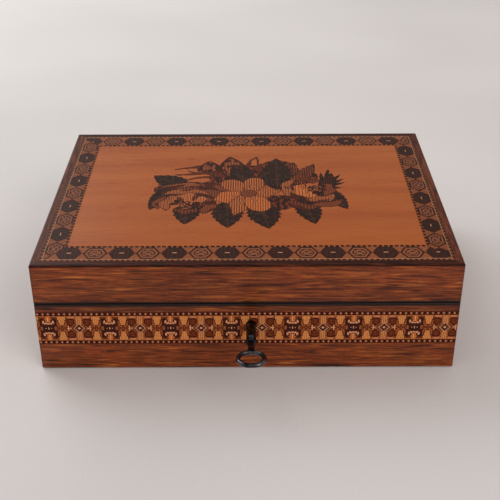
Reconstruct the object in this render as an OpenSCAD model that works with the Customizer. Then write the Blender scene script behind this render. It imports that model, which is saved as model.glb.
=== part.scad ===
// Veneered jewellery box with mosaic banding: a hinged lid, a box lock with its pipe key,
// and a lift-out tray for rings and trinkets.
// The origin is the middle of the underside. X runs to the right, Y to the back, Z up.
// The key stands in the lock, a quarter turn from where it goes in.

/* [Case] */
// Width of the closed box
box_w = 240; // [210:1:300]
// Depth of the closed box, front to back
box_d = 180; // [165:1:230]
// Height of the base, from the table to its rim
base_h = 45.1; // [43:0.1:60]
// Height of the lid, from its rim to its top
lid_h = 25; // [22:0.1:36]
// Gap between the closed lid and the base
joint_gap = 0.3; // [0.2:0.05:0.5]
// Thickness of the carcass boards
board_t = 8; // [7.8:0.1:10]
// Thickness of the bottom board
bottom_t = 5; // [3:0.5:6]
// Thickness of the board under the lid's veneer
top_t = 5; // [3:0.5:6]
// Width of the rebate that the bottom board sits in
rebate_w = 4; // [2:0.5:5]
// Thickness of the veneers and of the mosaic strips
veneer_t = 1; // [0.8:0.1:1.4]
// Thickness of the baize on the underside
baize_t = 0.6; // [0.4:0.1:1]
// How far the baize stays inside the edge of the box
baize_inset = 2; // [1:0.5:5]
// Radius that handling has worn on the corners and the top edges
worn_r = 1; // [0.5:0.1:1]
// Radius on the two rims
rim_r = 0.5; // [0.2:0.1:0.8]

/* [Mosaic] */
// Plain veneer above the mosaic band round the base
rim_strip_h = 5.4; // [3.5:0.1:8]
// Height of the mosaic band round the base
band_h = 21.9; // [16:0.1:26]
// Width of the dark edging round the top
edging_w = 4.6; // [3:0.1:8]
// Width of the mosaic border along the front and back of the top
border_long_w = 17.6; // [12:0.1:22]
// Width of the mosaic border along the sides of the top
border_side_w = 14; // [10:0.1:20]
// Width of the flower spray let into the panel
spray_w = 122; // [90:1:140]

/* [Hinges] */
// Length of each butt hinge
hinge_len = 38; // [25:1:50]
// Distance from the side of the box to the near end of a hinge
hinge_inset = 29; // [15:1:40]
// Width of a hinge leaf, from the pin forwards
leaf_w = 6.6; // [6:0.1:6.8]
// Thickness of a hinge leaf
leaf_t = 1.1; // [0.8:0.1:1.5]
// Radius of the hinge knuckle
knuckle_r = 1.9; // [1.7:0.1:2.1]
// Radius of the hinge pin
hinge_pin_r = 0.8; // [0.6:0.05:1]
// Distance from the back of the box to the hinge pin
pin_inset = 2.2; // [2.1:0.1:2.6]
// Angle at which the bevelled back edges stop the lid
lid_stop = 95; // [92:1:105]

/* [Lock] */
// Distance of the keyhole to the right of the middle
lock_x = 2.2; // [-10:0.1:10]
// Depth of the key's axis below the rim
key_drop = 14.3; // [14:0.1:18]
// Width of the lock plate
plate_w = 50; // [48:0.5:60]
// Height of the lock plate
plate_h = 25; // [24.5:0.1:28]
// Thickness of the lock plate, its top edge and the link plate
plate_t = 1.2; // [1:0.1:1.4]
// Width of the lock's case
case_w = 40; // [38:0.5:42]
// Height of the lock's case under its top edge
case_h = 21.8; // [21:0.1:22.5]
// Depth inside the lock's case
case_d = 3.8; // [3.6:0.1:4]
// Thickness of the sheet that the case is folded from
case_t = 1; // [0.8:0.1:1.1]
// Travel of the bolt from where it lies now to locked
bolt_throw = 3.5; // [3:0.1:3.8]
// Thickness of the bolt
bolt_t = 1.8; // [1.4:0.1:2]
// Distance between the two hooks of the link plate
hook_span = 16; // [15:0.1:17]
// Width of a hook
hook_w = 5.4; // [5:0.1:6]

/* [Key] */
// Outer radius of the key's pipe
pipe_r = 2.8; // [2.4:0.1:2.9]
// Radius of the pin in the lock that the pipe turns on
drill_pin_r = 1.25; // [1:0.05:1.5]
// Distance from the key's axis to the tip of its bit
bit_reach = 5.8; // [5.4:0.1:6.2]
// Thickness of the bit
bit_t = 1.6; // [1.2:0.1:2]
// Length of pipe that stands out in front of the box
pipe_out = 14; // [8:0.5:20]
// Length of the turned neck between the pipe and the bow
neck_len = 11; // [8:0.5:14]
// Radius of the neck
neck_r = 2; // [1.6:0.1:2.3]
// Width of the oval bow
bow_w = 16.8; // [15:0.1:22]
// Length of the oval bow along the key
bow_len = 14; // [12:0.1:14.8]
// Radius of the rod that the bow is bent from
bow_rod_r = 1.3; // [1:0.1:1.6]

/* [Tray] */
// Thickness of the boards that the tray rests on
bearer_t = 2.5; // [2:0.1:4]
// Height of the space under the tray
well_h = 18.4; // [10:0.1:20]
// Height of the tray
tray_h = 16; // [12:0.5:18]
// Thickness of the tray's walls
tray_wall_t = 3; // [2.5:0.1:4]
// Thickness of the tray's floor
tray_floor_t = 2.5; // [2:0.1:3]
// Gap between the tray and the walls of the base
tray_gap = 0.6; // [0.4:0.1:1]
// Thickness of the tray's dividers
divider_t = 2.4; // [2:0.1:4]
// How far the dividers stay below the tray's edge
divider_drop = 2; // [1:0.5:4]
// Depth of the tray's back compartments
back_row_d = 66; // [40:1:76]
// Width of the compartment that holds the ring cushion
ring_row_w = 76; // [50:1:100]
// Thickness of the velvet on the floors
velvet_t = 0.8; // [0.5:0.1:1.2]
// Radius of a roll of the ring cushion
roll_r = 6.6; // [5:0.1:7]
// Width of the lifting ribbons
ribbon_w = 10; // [6:1:16]
// Thickness of the lifting ribbons
ribbon_t = 0.6; // [0.4:0.1:1]

/* [Lid pad] */
// Thickness of the silk pad in the lid at its crown
pad_t = 6; // [4:0.5:7]
// How far the pad's sides are drawn in between its corners
pad_draw = 1.6; // [0:0.1:3]
// Depth that each tuft is pulled in
tuft_depth = 2.6; // [0:0.1:3]

/* [Hidden] */
$fn = 96;

// Heights, from the table up
case_z = baize_t;
floor_z = case_z + bottom_t;
pin_z = base_h + joint_gap / 2;
lid_z = base_h + joint_gap;
top_z = lid_z + lid_h;
top_veneer_z = top_z - veneer_t;
lid_ceiling_z = top_veneer_z - top_t;
band_top_z = base_h - rim_strip_h;
band_low_z = band_top_z - band_h;

// Plan sizes of the carcass and of the space inside it
core_w = box_w - 2 * veneer_t;
core_d = box_d - 2 * veneer_t;
inner_w = core_w - 2 * board_t;
inner_d = core_d - 2 * board_t;
panel_w = box_w - 2 * (edging_w + border_side_w);
panel_d = box_d - 2 * (edging_w + border_long_w);

// A cut runs this far past the face it opens
past = 1;
// Glue line between strips that meet end to end
glue = 0.04;

// Hinges
hinge_x = box_w / 2 - hinge_inset - hinge_len / 2;
hinge_y = box_d / 2 - pin_inset;
bevel_angle = (lid_stop + 3) / 2;
pin_fit = 0.05;
knuckle_gap = 0.3;
knuckle_count = 5;
knuckle_len = hinge_len / knuckle_count;
hinge_screw_y = hinge_y - (knuckle_r + leaf_w) / 2;
hinge_screw_step = 13;

// Wood screws
screw_r = 0.9;
screw_head_r = 1.7;
screw_head_h = 0.8;
screw_len = 4.8;
slot_w = 0.4;
slot_d = 0.35;

// Lock: heights are from the key's axis, depths from the inside of the front wall
key_z = base_h - key_drop;
wall_y = -inner_d / 2;
plate_y = wall_y - plate_t;
case_y = plate_y - case_d;
lock_front_y = case_y - case_t;
selvedge_y = lock_front_y - 0.6;
case_top = key_drop - plate_t;
case_low = case_top - case_h;
run_gap = 0.3;
key_turn_lock = 150;
key_turn_back = 90;
throw_back = bolt_throw * key_turn_back / key_turn_lock;
bolt_y = plate_y - 0.4;
bolt_low = pipe_r + 0.6;
bolt_web = 1;
talon_top = bit_reach + 0.4;
bolt_top = talon_top + bolt_web;
bolt_left = -(case_w / 2 - case_t - throw_back - run_gap);
bolt_right = case_w / 2 - case_t - bolt_throw - run_gap;
talon_left = -(bit_reach + 0.7);
talon_right = bit_reach * cos(180 - key_turn_lock) + bit_t / 2 - bolt_throw + run_gap;
stud_r = 0.8;
stud_fit = 0.15;
stud_z = (bolt_low + bolt_top) / 2;
stud_x = [talon_left - bolt_throw - 0.8, talon_right + bolt_throw + 3];
hook_x = [1 - hook_span / 2, 1 + hook_span / 2];
hook_t = 2;
hook_y = bolt_y + 0.1;
hook_low = bolt_top + 0.5;
mouth_low = hook_low + 1.6;
mouth_top = mouth_low + 2.6;
mouth_back = bolt_throw + 0.5;
prong_tip = -(hook_w / 2 + 0.4);
stem_w = 2.4;
stem_x = prong_tip - bolt_throw - stem_w;
slot_clear = 0.5;
lock_screw_x = plate_w / 2 - 2.6;
lock_screw_low = key_drop - plate_h + 2.7;
edge_screw_y = (wall_y + selvedge_y) / 2;
spring_t = 0.4;
spring_wide = 2.2;
spring_touch_x = -10;
spring_foot = -1;

// Key
key_end_y = plate_y - run_gap;
front_y = -box_d / 2;
keyhole_gap = 0.3;
bit_len = 2.8;
collar_r = 2.9;
collar_len = 1.4;
pipe_taper = 2;
root_flare = 0.3;

// Tray
tray_z = floor_z + well_h;
tray_w = inner_w - 2 * tray_gap;
tray_d = inner_d - 2 * tray_gap;
tray_in_w = tray_w - 2 * tray_wall_t;
tray_in_d = tray_d - 2 * tray_wall_t;
tray_floor_z = tray_z + tray_floor_t;
tray_rebate = tray_wall_t / 2;
tray_top_z = tray_z + tray_h;
divider_y = tray_in_d / 2 - back_row_d - divider_t / 2;
lining_gap = 0.3;
front_row_d = tray_in_d - back_row_d - divider_t;
ring_d = front_row_d - 2 * lining_gap;
ring_w = ring_row_w - 2 * lining_gap;
roll_count = floor(ring_d / (2 * roll_r));
roll_step = (ring_d - 2 * roll_r) / (roll_count - 1);
roll_end = 3;
cushion_h = tray_h - tray_floor_t - divider_drop - 1;
ribbon_bend_r = 3;
ribbon_drop = 1.5;

// Flower spray, drawn at this width and centred on the panel, in millimetres
drawn_w = 122;
spray_k = spray_w / drawn_w;

// Leaves and petals: stalk end x, y, tip x, y, and half of the width
LEAVES = [
    [-20, -16, -37, -42.5, 8], [-16, -14, -11.5, -47, 9], [4, -14, 13, -48, 9],
    [26, -12, 40.5, -42.5, 9], [36, -6, 61, -24.5, 8], [-30, -8, -59, -24.5, 8],
    [-36, 2, -60, 22, 8], [-40, 0, -61, -6, 5], [12, 8, 19, 47, 12], [20, 6, 33, 42, 9],
    [28, 6, 43, 38, 6], [42, 4, 54, 31, 6], [46, 2, 62, 14, 6], [-10, 10, -13, 50, 9],
    [-6, 12, -2, 34, 9], [-22, 10, -25, 45, 6.5], [-20, 14, -47, 33, 3.6],
    [-22, 6, -46, 24, 3.6], [0, 16, 5.5, 50, 3.4]
];
// The open flower's petals, round its heart
HEART = [0.8, -3.8];
PETALS = [[6, 18], [21, 0], [12, -26], [-7, -32], [-21, -13], [-13, 12]];
petal_half_w = 6.5;
// Full-blown roses, and then the foliage that fills in behind the flowers: x, y and radius
ROSES = [[-36, -8, 18], [38, -2, 17]];
FOLIAGE = [
    [0, 6, 22], [-20, 4, 15], [24, 8, 18], [-21, -16, 12], [20, -12, 14], [46, 6, 12], [-20, 22, 11],
    [0, -18, 11], [-34, 14.5, 9]
];

// Shared forms

// A block between pairs of limits
module block(x, y, z)
    translate([x[0], y[0], z[0]]) cube([x[1] - x[0], y[1] - y[0], z[1] - z[0]]);

module rod_x(r, x0, x1) translate([x0, 0, 0]) rotate([0, 90, 0]) cylinder(h = x1 - x0, r = r);

module rod_y(r, y0, y1) translate([0, y1, 0]) rotate([90, 0, 0]) cylinder(h = y1 - y0, r = r);

// One side of a mitred frame, seen from above: 0 front, 1 right, 2 back, 3 left.
// Its ends stop short of the mitres by a glue line g.
function side_outline(side, w, d, tx, ty, g) =
    let (ox = w / 2, oy = d / 2, ix = w / 2 - tx, iy = d / 2 - ty)
    side == 0 ? [[g - ox, -oy], [ox - g, -oy], [ix - g, -iy], [g - ix, -iy]] :
    side == 1 ? [[ox, g - oy], [ox, oy - g], [ix, iy - g], [ix, g - iy]] :
    side == 2 ? [[ox - g, oy], [g - ox, oy], [g - ix, iy], [ix - g, iy]] :
    [[-ox, oy - g], [-ox, g - oy], [-ix, g - iy], [-ix, iy - g]];

module frame_side(side, w, d, tx, ty, z0, z1, g = 0)
    translate([0, 0, z0]) linear_extrude(z1 - z0) polygon(side_outline(side, w, d, tx, ty, g));

// What rounding takes off a square corner at the origin
module corner_waste(r) difference() {
    translate([-past, -past]) square(r + past);
    translate([r, r]) circle(r);
}

// A rectangle standing on the X axis with its lower and upper corners rounded
module worn_profile(w, h, r_low, r_high) difference() {
    translate([-w / 2, 0]) square([w, h]);
    for (m = [0, 1]) mirror([m, 0]) {
        translate([-w / 2, 0]) corner_waste(r_low);
        translate([-w / 2, h]) mirror([0, 1]) corner_waste(r_high);
    }
}

// A half of the box as one block, its outer edges worn round
module worn_block(z0, z1, r_low, r_high) intersection() {
    translate([0, -box_d / 2, z0]) linear_extrude(z1 - z0)
        worn_profile(box_w, box_d, worn_r, worn_r);
    translate([0, box_d / 2, z0]) rotate([90, 0, 0]) linear_extrude(box_d)
        worn_profile(box_w, z1 - z0, r_low, r_high);
    translate([-box_w / 2, 0, z0]) rotate([90, 0, 90]) linear_extrude(box_w)
        worn_profile(box_d, z1 - z0, r_low, r_high);
}

module worn_base() worn_block(case_z, base_h, rim_r, rim_r);
module worn_lid() worn_block(lid_z, top_z, rim_r, worn_r);

// A countersunk wood screw, its head at the origin and its shank down
module screw_body() {
    translate([0, 0, -screw_head_h]) cylinder(h = screw_head_h, r1 = screw_r, r2 = screw_head_r);
    translate([0, 0, -screw_len]) cylinder(h = screw_len - screw_head_h, r = screw_r);
}

module screw() difference() {
    screw_body();
    block([-screw_head_r, screw_head_r], [-slot_w / 2, slot_w / 2], [-slot_d, past]);
}

// Hinge parts

// Runs its children once at each hinge, with the pin's middle as their origin
module at_hinge(side) translate([side * hinge_x, hinge_y, pin_z]) children();

// The wedge that the bevel takes off the back edge: 1 for the lid, -1 for the base
module back_bevel(up)
    translate([-box_w, hinge_y, pin_z]) rotate([90, 0, 90]) linear_extrude(2 * box_w)
        polygon([
            [0, 0],
            [pin_inset + past, up * (pin_inset + past) * tan(bevel_angle)],
            [pin_inset + past, -up * past],
            [0, -up * past]
        ]);

// The room that the wood leaves for one hinge
module hinge_room(side, up) at_hinge(side) {
    rod_x(knuckle_r + knuckle_gap, -hinge_len / 2 - knuckle_gap, hinge_len / 2 + knuckle_gap);
    leaf_plate(up);
}

module leaf_plate(up)
    block([-hinge_len / 2, hinge_len / 2], [-leaf_w, 0],
        up > 0 ? [joint_gap / 2, joint_gap / 2 + leaf_t] : [-joint_gap / 2 - leaf_t, -joint_gap / 2]);

// One knuckle out of the five, grown by a gap where the other leaf has to clear it
module knuckle(i, grow) {
    x0 = -hinge_len / 2 + i * knuckle_len;
    rod_x(knuckle_r + grow, x0 - grow / 2, x0 + knuckle_len + grow / 2);
}

module hinge_screw_places(up) for (side = [-1, 1]) for (i = [-1, 0, 1])
    translate([side * hinge_x + i * hinge_screw_step, hinge_screw_y,
        up > 0 ? lid_z : base_h]) mirror([0, 0, up > 0 ? 1 : 0]) children();

module hinge_leaf(side, up) color("goldenrod") difference() {
    at_hinge(side) difference() {
        union() {
            leaf_plate(up);
            for (i = up > 0 ? [1, 3] : [0, 2, 4]) knuckle(i, 0);
        }
        for (i = up > 0 ? [0, 2, 4] : [1, 3]) knuckle(i, knuckle_gap);
        rod_x(hinge_pin_r + pin_fit, -hinge_len, hinge_len);
    }
    hinge_screw_places(up) screw_body();
}

module hinge_pin(side) color("darkgoldenrod") at_hinge(side)
    rod_x(hinge_pin_r, -hinge_len / 2, hinge_len / 2);

module hinge_screws(up) color("gold") hinge_screw_places(up) screw();

// Base

// The bottom board, in its rebate
module base_bottom_board() color("burlywood")
    block([-inner_w / 2 - rebate_w, inner_w / 2 + rebate_w],
        [-inner_d / 2 - rebate_w, inner_d / 2 + rebate_w], [case_z, floor_z]);

module underside_baize() color("darkgreen")
    block([baize_inset - box_w / 2, box_w / 2 - baize_inset],
        [baize_inset - box_d / 2, box_d / 2 - baize_inset], [0, baize_t]);

module base_board(side) color("sienna") difference() {
    frame_side(side, core_w, core_d, board_t, board_t, case_z, base_h);
    base_bottom_board();
    if (side == 0) lock_room();
    else back_bevel(-1);
    if (side == 2) {
        for (s = [-1, 1]) hinge_room(s, -1);
        hinge_screw_places(-1) screw_body();
    }
}

// The plain veneer under and over the mosaic band, as two strips
module base_veneer(side) color("saddlebrown") intersection() {
    worn_base();
    difference() {
        union() {
            frame_side(side, box_w, box_d, veneer_t, veneer_t, case_z, band_low_z);
            frame_side(side, box_w, box_d, veneer_t, veneer_t, band_top_z, base_h);
        }
        if (side > 0) back_bevel(-1);
        if (side == 2) for (s = [-1, 1]) hinge_room(s, -1);
    }
}

module mosaic_band(side) color("peru") intersection() {
    worn_base();
    difference() {
        frame_side(side, box_w, box_d, veneer_t, veneer_t, band_low_z, band_top_z);
        if (side == 0) at_lock() keyhole();
    }
}

module tray_bearers() color("maroon") for (side = [0:3])
    frame_side(side, inner_w, inner_d, bearer_t, bearer_t, floor_z, tray_z, glue);

module floor_lining() color("firebrick")
    block([-inner_w / 2 + bearer_t, inner_w / 2 - bearer_t],
        [-inner_d / 2 + bearer_t, inner_d / 2 - bearer_t], [floor_z, floor_z + velvet_t]);

// Lock

// Moves its children to the key's axis
module at_lock() translate([lock_x, 0, key_z]) children();

// The round hole for the pipe and the slot under it for the bit, through the whole front wall
module keyhole() {
    rod_y(pipe_r + keyhole_gap, front_y - past, case_y + past);
    block([-bit_t / 2 - keyhole_gap, bit_t / 2 + keyhole_gap], [front_y - past, case_y + past],
        [-bit_reach - keyhole_gap, 0]);
}

// Four screws: two through the plate, two down through its top edge
module lock_screw_places() at_lock() for (s = [-1, 1]) {
    translate([s * lock_screw_x, wall_y, lock_screw_low]) rotate([-90, 0, 0]) children();
    translate([s * lock_screw_x, edge_screw_y, key_drop]) children();
}

module plate_form() {
    block([-plate_w / 2, plate_w / 2], [plate_y, wall_y], [key_drop - plate_h, key_drop]);
    block([-plate_w / 2, plate_w / 2], [selvedge_y, wall_y], [case_top, key_drop]);
}

module case_form()
    block([-case_w / 2, case_w / 2], [lock_front_y, plate_y], [case_low, case_top]);

// What the front board loses to the lock
module lock_room() {
    at_lock() {
        plate_form();
        case_form();
        keyhole();
    }
    lock_screw_places() screw_body();
}

module lock_plate() color("goldenrod") difference() {
    at_lock() difference() {
        plate_form();
        for (x = hook_x)
            block([x - hook_w / 2 - slot_clear, x + hook_w / 2 + slot_clear],
                [hook_y - hook_t - slot_clear, plate_y], [case_top - past, key_drop + past]);
    }
    lock_screw_places() screw_body();
}

// A shallow tray of sheet brass that closes the works in against the wood
module lock_case() color("peru") at_lock() difference() {
    case_form();
    block([case_t - case_w / 2, case_w / 2 - case_t], [case_y, plate_y + past],
        [case_low + case_t, case_top + past]);
    keyhole();
}

module lock_drill_pin() color("dimgray") at_lock() rod_y(drill_pin_r, lock_front_y, plate_y);

module lock_guide_studs() color("dimgray") at_lock() for (x = stud_x)
    translate([x, 0, stud_z]) rod_y(stud_r, case_y, plate_y);

module lock_screws() color("gold") lock_screw_places() screw();

// A slot along the bolt's travel for one guide stud
module bolt_slot(x) {
    r = stud_r + stud_fit;
    for (end = [x - bolt_throw, x + throw_back])
        translate([end, 0, stud_z]) rod_y(r, bolt_y - bolt_t - past, bolt_y + past);
    block([x - bolt_throw, x + throw_back], [bolt_y - bolt_t - past, bolt_y + past],
        [stud_z - r, stud_z + r]);
}

// A flat bolt with a talon for the key, two guide slots and two prongs that enter the hooks
module lock_bolt() color("darkkhaki") at_lock() difference() {
    union() {
        block([bolt_left, bolt_right], [bolt_y - bolt_t, bolt_y], [bolt_low, bolt_top]);
        for (x = hook_x) {
            block([x + stem_x, x + stem_x + stem_w], [bolt_y - bolt_t, bolt_y],
                [bolt_top - bolt_web / 2, mouth_top - run_gap]);
            block([x + stem_x, x + prong_tip], [bolt_y - bolt_t, bolt_y],
                [mouth_low + run_gap, mouth_top - run_gap]);
        }
    }
    block([talon_left, talon_right], [bolt_y - bolt_t - past, bolt_y + past],
        [bolt_low - past, talon_top]);
    for (x = stud_x) bolt_slot(x);
}

// A bent leaf from the side of the case to the underside of the bolt
module lock_spring() {
    run = spring_touch_x - (case_t - case_w / 2);
    rise = bolt_low - run_gap - spring_foot;
    bend_r = (run * run + rise * rise) / (2 * rise);
    color("slategray") at_lock() translate([spring_touch_x, bolt_y, bolt_low - run_gap - bend_r])
        rotate([90, 0, 0]) linear_extrude(spring_wide) intersection() {
            difference() {
                circle(bend_r);
                circle(bend_r - spring_t);
            }
            translate([-run, 0]) square([run, bend_r]);
        }
}

// The plate let into the lid's rim, with its two hooks
module link_plate() color("goldenrod") difference() {
    at_lock() union() {
        block([-plate_w / 2, plate_w / 2], [selvedge_y, wall_y],
            [key_drop + joint_gap, key_drop + joint_gap + plate_t]);
        for (x = hook_x) difference() {
            block([x - hook_w / 2, x + hook_w / 2], [hook_y - hook_t, hook_y],
                [hook_low, key_drop + joint_gap + plate_t / 2]);
            block([x - hook_w / 2 - past, x + prong_tip + mouth_back],
                [hook_y - hook_t - past, hook_y + past], [mouth_low, mouth_top]);
        }
    }
    link_screw_places() screw_body();
}

module link_screw_places() at_lock() for (s = [-1, 1])
    translate([s * lock_screw_x, edge_screw_y, key_drop + joint_gap]) mirror([0, 0, 1]) children();

module link_screws() color("gold") link_screw_places() screw();

// Key

// Half of a ring, open towards -X
module half_ring(path_r) rotate([0, 0, -90]) rotate_extrude(angle = 180)
    translate([path_r, 0]) circle(bow_rod_r);

// The oval bow, lying flat: two half rings joined by short straight rods
module bow() {
    path_r = bow_len / 2 - bow_rod_r;
    half = (bow_w - bow_len) / 2;
    translate([half, 0, 0]) half_ring(path_r);
    translate([-half, 0, 0]) mirror([1, 0, 0]) half_ring(path_r);
    for (y = [-path_r, path_r]) translate([0, y, 0]) rod_x(bow_rod_r, -half, half);
}

// The bit, with a ward cut in its middle
module bit() difference() {
    block([-bit_reach, -drill_pin_r - 0.6], [key_end_y - 0.3 - bit_len, key_end_y - 0.3],
        [-bit_t / 2, bit_t / 2]);
    block([-bit_reach - past, 1.2 - bit_reach],
        [key_end_y - 0.3 - bit_len * 0.6, key_end_y - 0.3 - bit_len * 0.4], [-bit_t, bit_t]);
}

module key() color("darkslategray") at_lock() {
    pipe_len = key_end_y - front_y + pipe_out;
    neck_top = pipe_len + neck_len;
    collar_at = pipe_len + pipe_taper;
    root_end = neck_top + bow_rod_r * 0.7;
    difference() {
        union() {
            translate([0, key_end_y, 0]) rotate([90, 0, 0]) rotate_extrude() polygon([
                [0, 0], [pipe_r, 0], [pipe_r, pipe_len], [neck_r, collar_at],
                [collar_r, collar_at + collar_len * 0.3], [collar_r, collar_at + collar_len * 0.7],
                [neck_r, collar_at + collar_len], [neck_r, neck_top],
                [neck_r + root_flare, root_end], [0, root_end]
            ]);
            bit();
            translate([0, key_end_y - neck_top - bow_len / 2, 0]) bow();
        }
        rod_y(drill_pin_r + pin_fit, lock_front_y - run_gap, key_end_y + past);
    }
}

// Lid

module lid_board(side) color("sienna") difference() {
    frame_side(side, core_w, core_d, board_t, board_t, lid_z, lid_ceiling_z);
    if (side == 0) {
        at_lock() block([-plate_w / 2, plate_w / 2], [selvedge_y, wall_y],
            [key_drop + joint_gap - past, key_drop + joint_gap + plate_t]);
        link_screw_places() screw_body();
    } else back_bevel(1);
    if (side == 2) {
        for (s = [-1, 1]) hinge_room(s, 1);
        hinge_screw_places(1) screw_body();
    }
}

module lid_top_board() color("burlywood")
    block([-core_w / 2, core_w / 2], [-core_d / 2, core_d / 2], [lid_ceiling_z, top_veneer_z]);

module lid_veneer(side) color("saddlebrown") intersection() {
    worn_lid();
    difference() {
        frame_side(side, box_w, box_d, veneer_t, veneer_t, lid_z, top_veneer_z);
        if (side > 0) back_bevel(1);
        if (side == 2) for (s = [-1, 1]) hinge_room(s, 1);
    }
}

module top_edging() color("maroon") for (side = [0:3]) intersection() {
    worn_lid();
    frame_side(side, box_w, box_d, edging_w, edging_w, top_veneer_z, top_z, glue);
}

module mosaic_border(side) color("brown")
    frame_side(side, box_w - 2 * edging_w, box_d - 2 * edging_w, border_side_w, border_long_w,
        top_veneer_z, top_z);

// A leaf between its stalk end and its tip, bounded by two arcs
module leaf(from, to, half_w) {
    run = norm(to - from);
    r = (run * run / 4 + half_w * half_w) / (2 * half_w);
    translate(from) rotate(atan2(to[1] - from[1], to[0] - from[0]))
        translate([run / 2, 0]) intersection() {
            translate([0, half_w - r]) circle(r);
            translate([0, r - half_w]) circle(r);
        }
}

module spray_outline() scale(spray_k) {
    for (l = LEAVES) leaf([l[0], l[1]], [l[2], l[3]], l[4]);
    for (p = PETALS) leaf(HEART, p, petal_half_w);
    for (r = concat(ROSES, FOLIAGE)) translate([r[0], r[1]]) circle(r[2]);
}

module top_panel() color("sandybrown") translate([0, 0, top_veneer_z]) linear_extrude(veneer_t)
    difference() {
        square([panel_w, panel_d], center = true);
        spray_outline();
    }

module spray_inlay() color("saddlebrown") translate([0, 0, top_veneer_z])
    linear_extrude(veneer_t) spray_outline();

// Silk pad: a crowned cushion with tufts, drawn lying on its flat back, then turned over
// to hang from the board

pad_cols = 30;
pad_rows = 22;
tuft_cols = 4;
tuft_rows = 3;
pad_w = inner_w - 2 * lining_gap;
pad_d = inner_d - 2 * lining_gap;

// Places from -1 to 1, closer together near the ends
function spread(i, n) = sin(180 * i / n - 90);
function crown(s) = pow(max(0, 1 - pow(abs(s), 6)), 0.4);
function tuft_pull(x, y) = max([for (i = [1:tuft_cols]) for (j = [1:tuft_rows])
    let (dx = x - pad_w * (i / (tuft_cols + 1) - 0.5), dy = y - pad_d * (j / (tuft_rows + 1) - 0.5))
    exp(-(dx * dx + dy * dy) / 70)]);
function pad_point(i, j) =
    let (s = spread(i, pad_cols), t = spread(j, pad_rows),
        x = s * (pad_w / 2 - pad_draw * cos(90 * t)),
        y = t * (pad_d / 2 - pad_draw * cos(90 * s)),
        rise = crown(s) * crown(t))
    [x, y, rise * (pad_t - tuft_depth * tuft_pull(x, y))];
function pad_index(i, j) = i + j * (pad_cols + 1);
function pad_rim() = concat(
    [for (i = [0:pad_cols - 1]) pad_index(i, 0)],
    [for (j = [0:pad_rows - 1]) pad_index(pad_cols, j)],
    [for (i = [pad_cols:-1:1]) pad_index(i, pad_rows)],
    [for (j = [pad_rows:-1:1]) pad_index(0, j)]);

module lid_silk_pad() {
    points = [for (j = [0:pad_rows]) for (i = [0:pad_cols]) pad_point(i, j)];
    middle = len(points);
    rim = pad_rim();
    color("mediumvioletred") translate([0, 0, lid_ceiling_z]) rotate([180, 0, 0]) polyhedron(
        points = concat(points, [[0, 0, 0]]),
        faces = concat(
            [for (j = [0:pad_rows - 1]) for (i = [0:pad_cols - 1])
                [pad_index(i, j), pad_index(i + 1, j + 1), pad_index(i + 1, j)]],
            [for (j = [0:pad_rows - 1]) for (i = [0:pad_cols - 1])
                [pad_index(i, j), pad_index(i, j + 1), pad_index(i + 1, j + 1)]],
            [for (k = [0:len(rim) - 1]) [rim[k], rim[(k + 1) % len(rim)], middle]]));
}

// Tray

module tray_floor_form(grow)
    block([-tray_in_w / 2 - grow, tray_in_w / 2 + grow], [-tray_in_d / 2 - grow, tray_in_d / 2 + grow],
        [tray_z, tray_floor_z]);

module tray_wall(side) color("chocolate") difference() {
    frame_side(side, tray_w, tray_d, tray_wall_t, tray_wall_t, tray_z, tray_top_z);
    tray_floor_form(tray_rebate);
}

module tray_floor() color("burlywood") tray_floor_form(tray_rebate);

// A long divider, two in front of it beside the rings, and one behind it
module tray_dividers() color("chocolate") {
    z = [tray_floor_z, tray_top_z - divider_drop];
    block([-tray_in_w / 2, tray_in_w / 2], [divider_y - divider_t / 2, divider_y + divider_t / 2], z);
    for (s = [-1, 1]) translate([s * (ring_row_w + divider_t) / 2, 0, 0])
        block([-divider_t / 2, divider_t / 2],
            [-tray_in_d / 2, divider_y - divider_t / 2 - glue], z);
    block([-divider_t / 2, divider_t / 2], [divider_y + divider_t / 2 + glue, tray_in_d / 2], z);
}

// One roll of the cushion, its ends drawn in
module roll() {
    rod_x(roll_r, roll_end - ring_w / 2, ring_w / 2 - roll_end);
    for (m = [0, 1]) mirror([m, 0, 0]) translate([ring_w / 2 - roll_end, 0, 0])
        rotate([0, 90, 0]) cylinder(h = roll_end, r1 = roll_r, r2 = roll_r * 0.6);
}

module ring_cushion() color("crimson") intersection() {
    translate([0, -tray_in_d / 2 + lining_gap + roll_r, tray_floor_z + cushion_h - roll_r])
        for (i = [0:roll_count - 1]) translate([0, i * roll_step, 0]) {
            roll();
            block([roll_end - ring_w / 2, ring_w / 2 - roll_end],
                [-roll_r * 0.8, i < roll_count - 1 ? roll_step : roll_r * 0.8],
                [roll_r - cushion_h, 0]);
        }
    translate([0, 0, tray_floor_z]) block([-ring_w, ring_w], [-inner_d, inner_d], [0, tray_h]);
}

module velvet_piece(x, y)
    block([x[0] + lining_gap, x[1] - lining_gap], [y[0] + lining_gap, y[1] - lining_gap],
        [tray_floor_z, tray_floor_z + velvet_t]);

module tray_velvet() color("firebrick") for (m = [0, 1]) mirror([m, 0, 0]) {
    velvet_piece([ring_row_w / 2 + divider_t, tray_in_w / 2],
        [-tray_in_d / 2, divider_y - divider_t / 2]);
    velvet_piece([divider_t / 2, tray_in_w / 2], [divider_y + divider_t / 2, tray_in_d / 2]);
}

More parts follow.
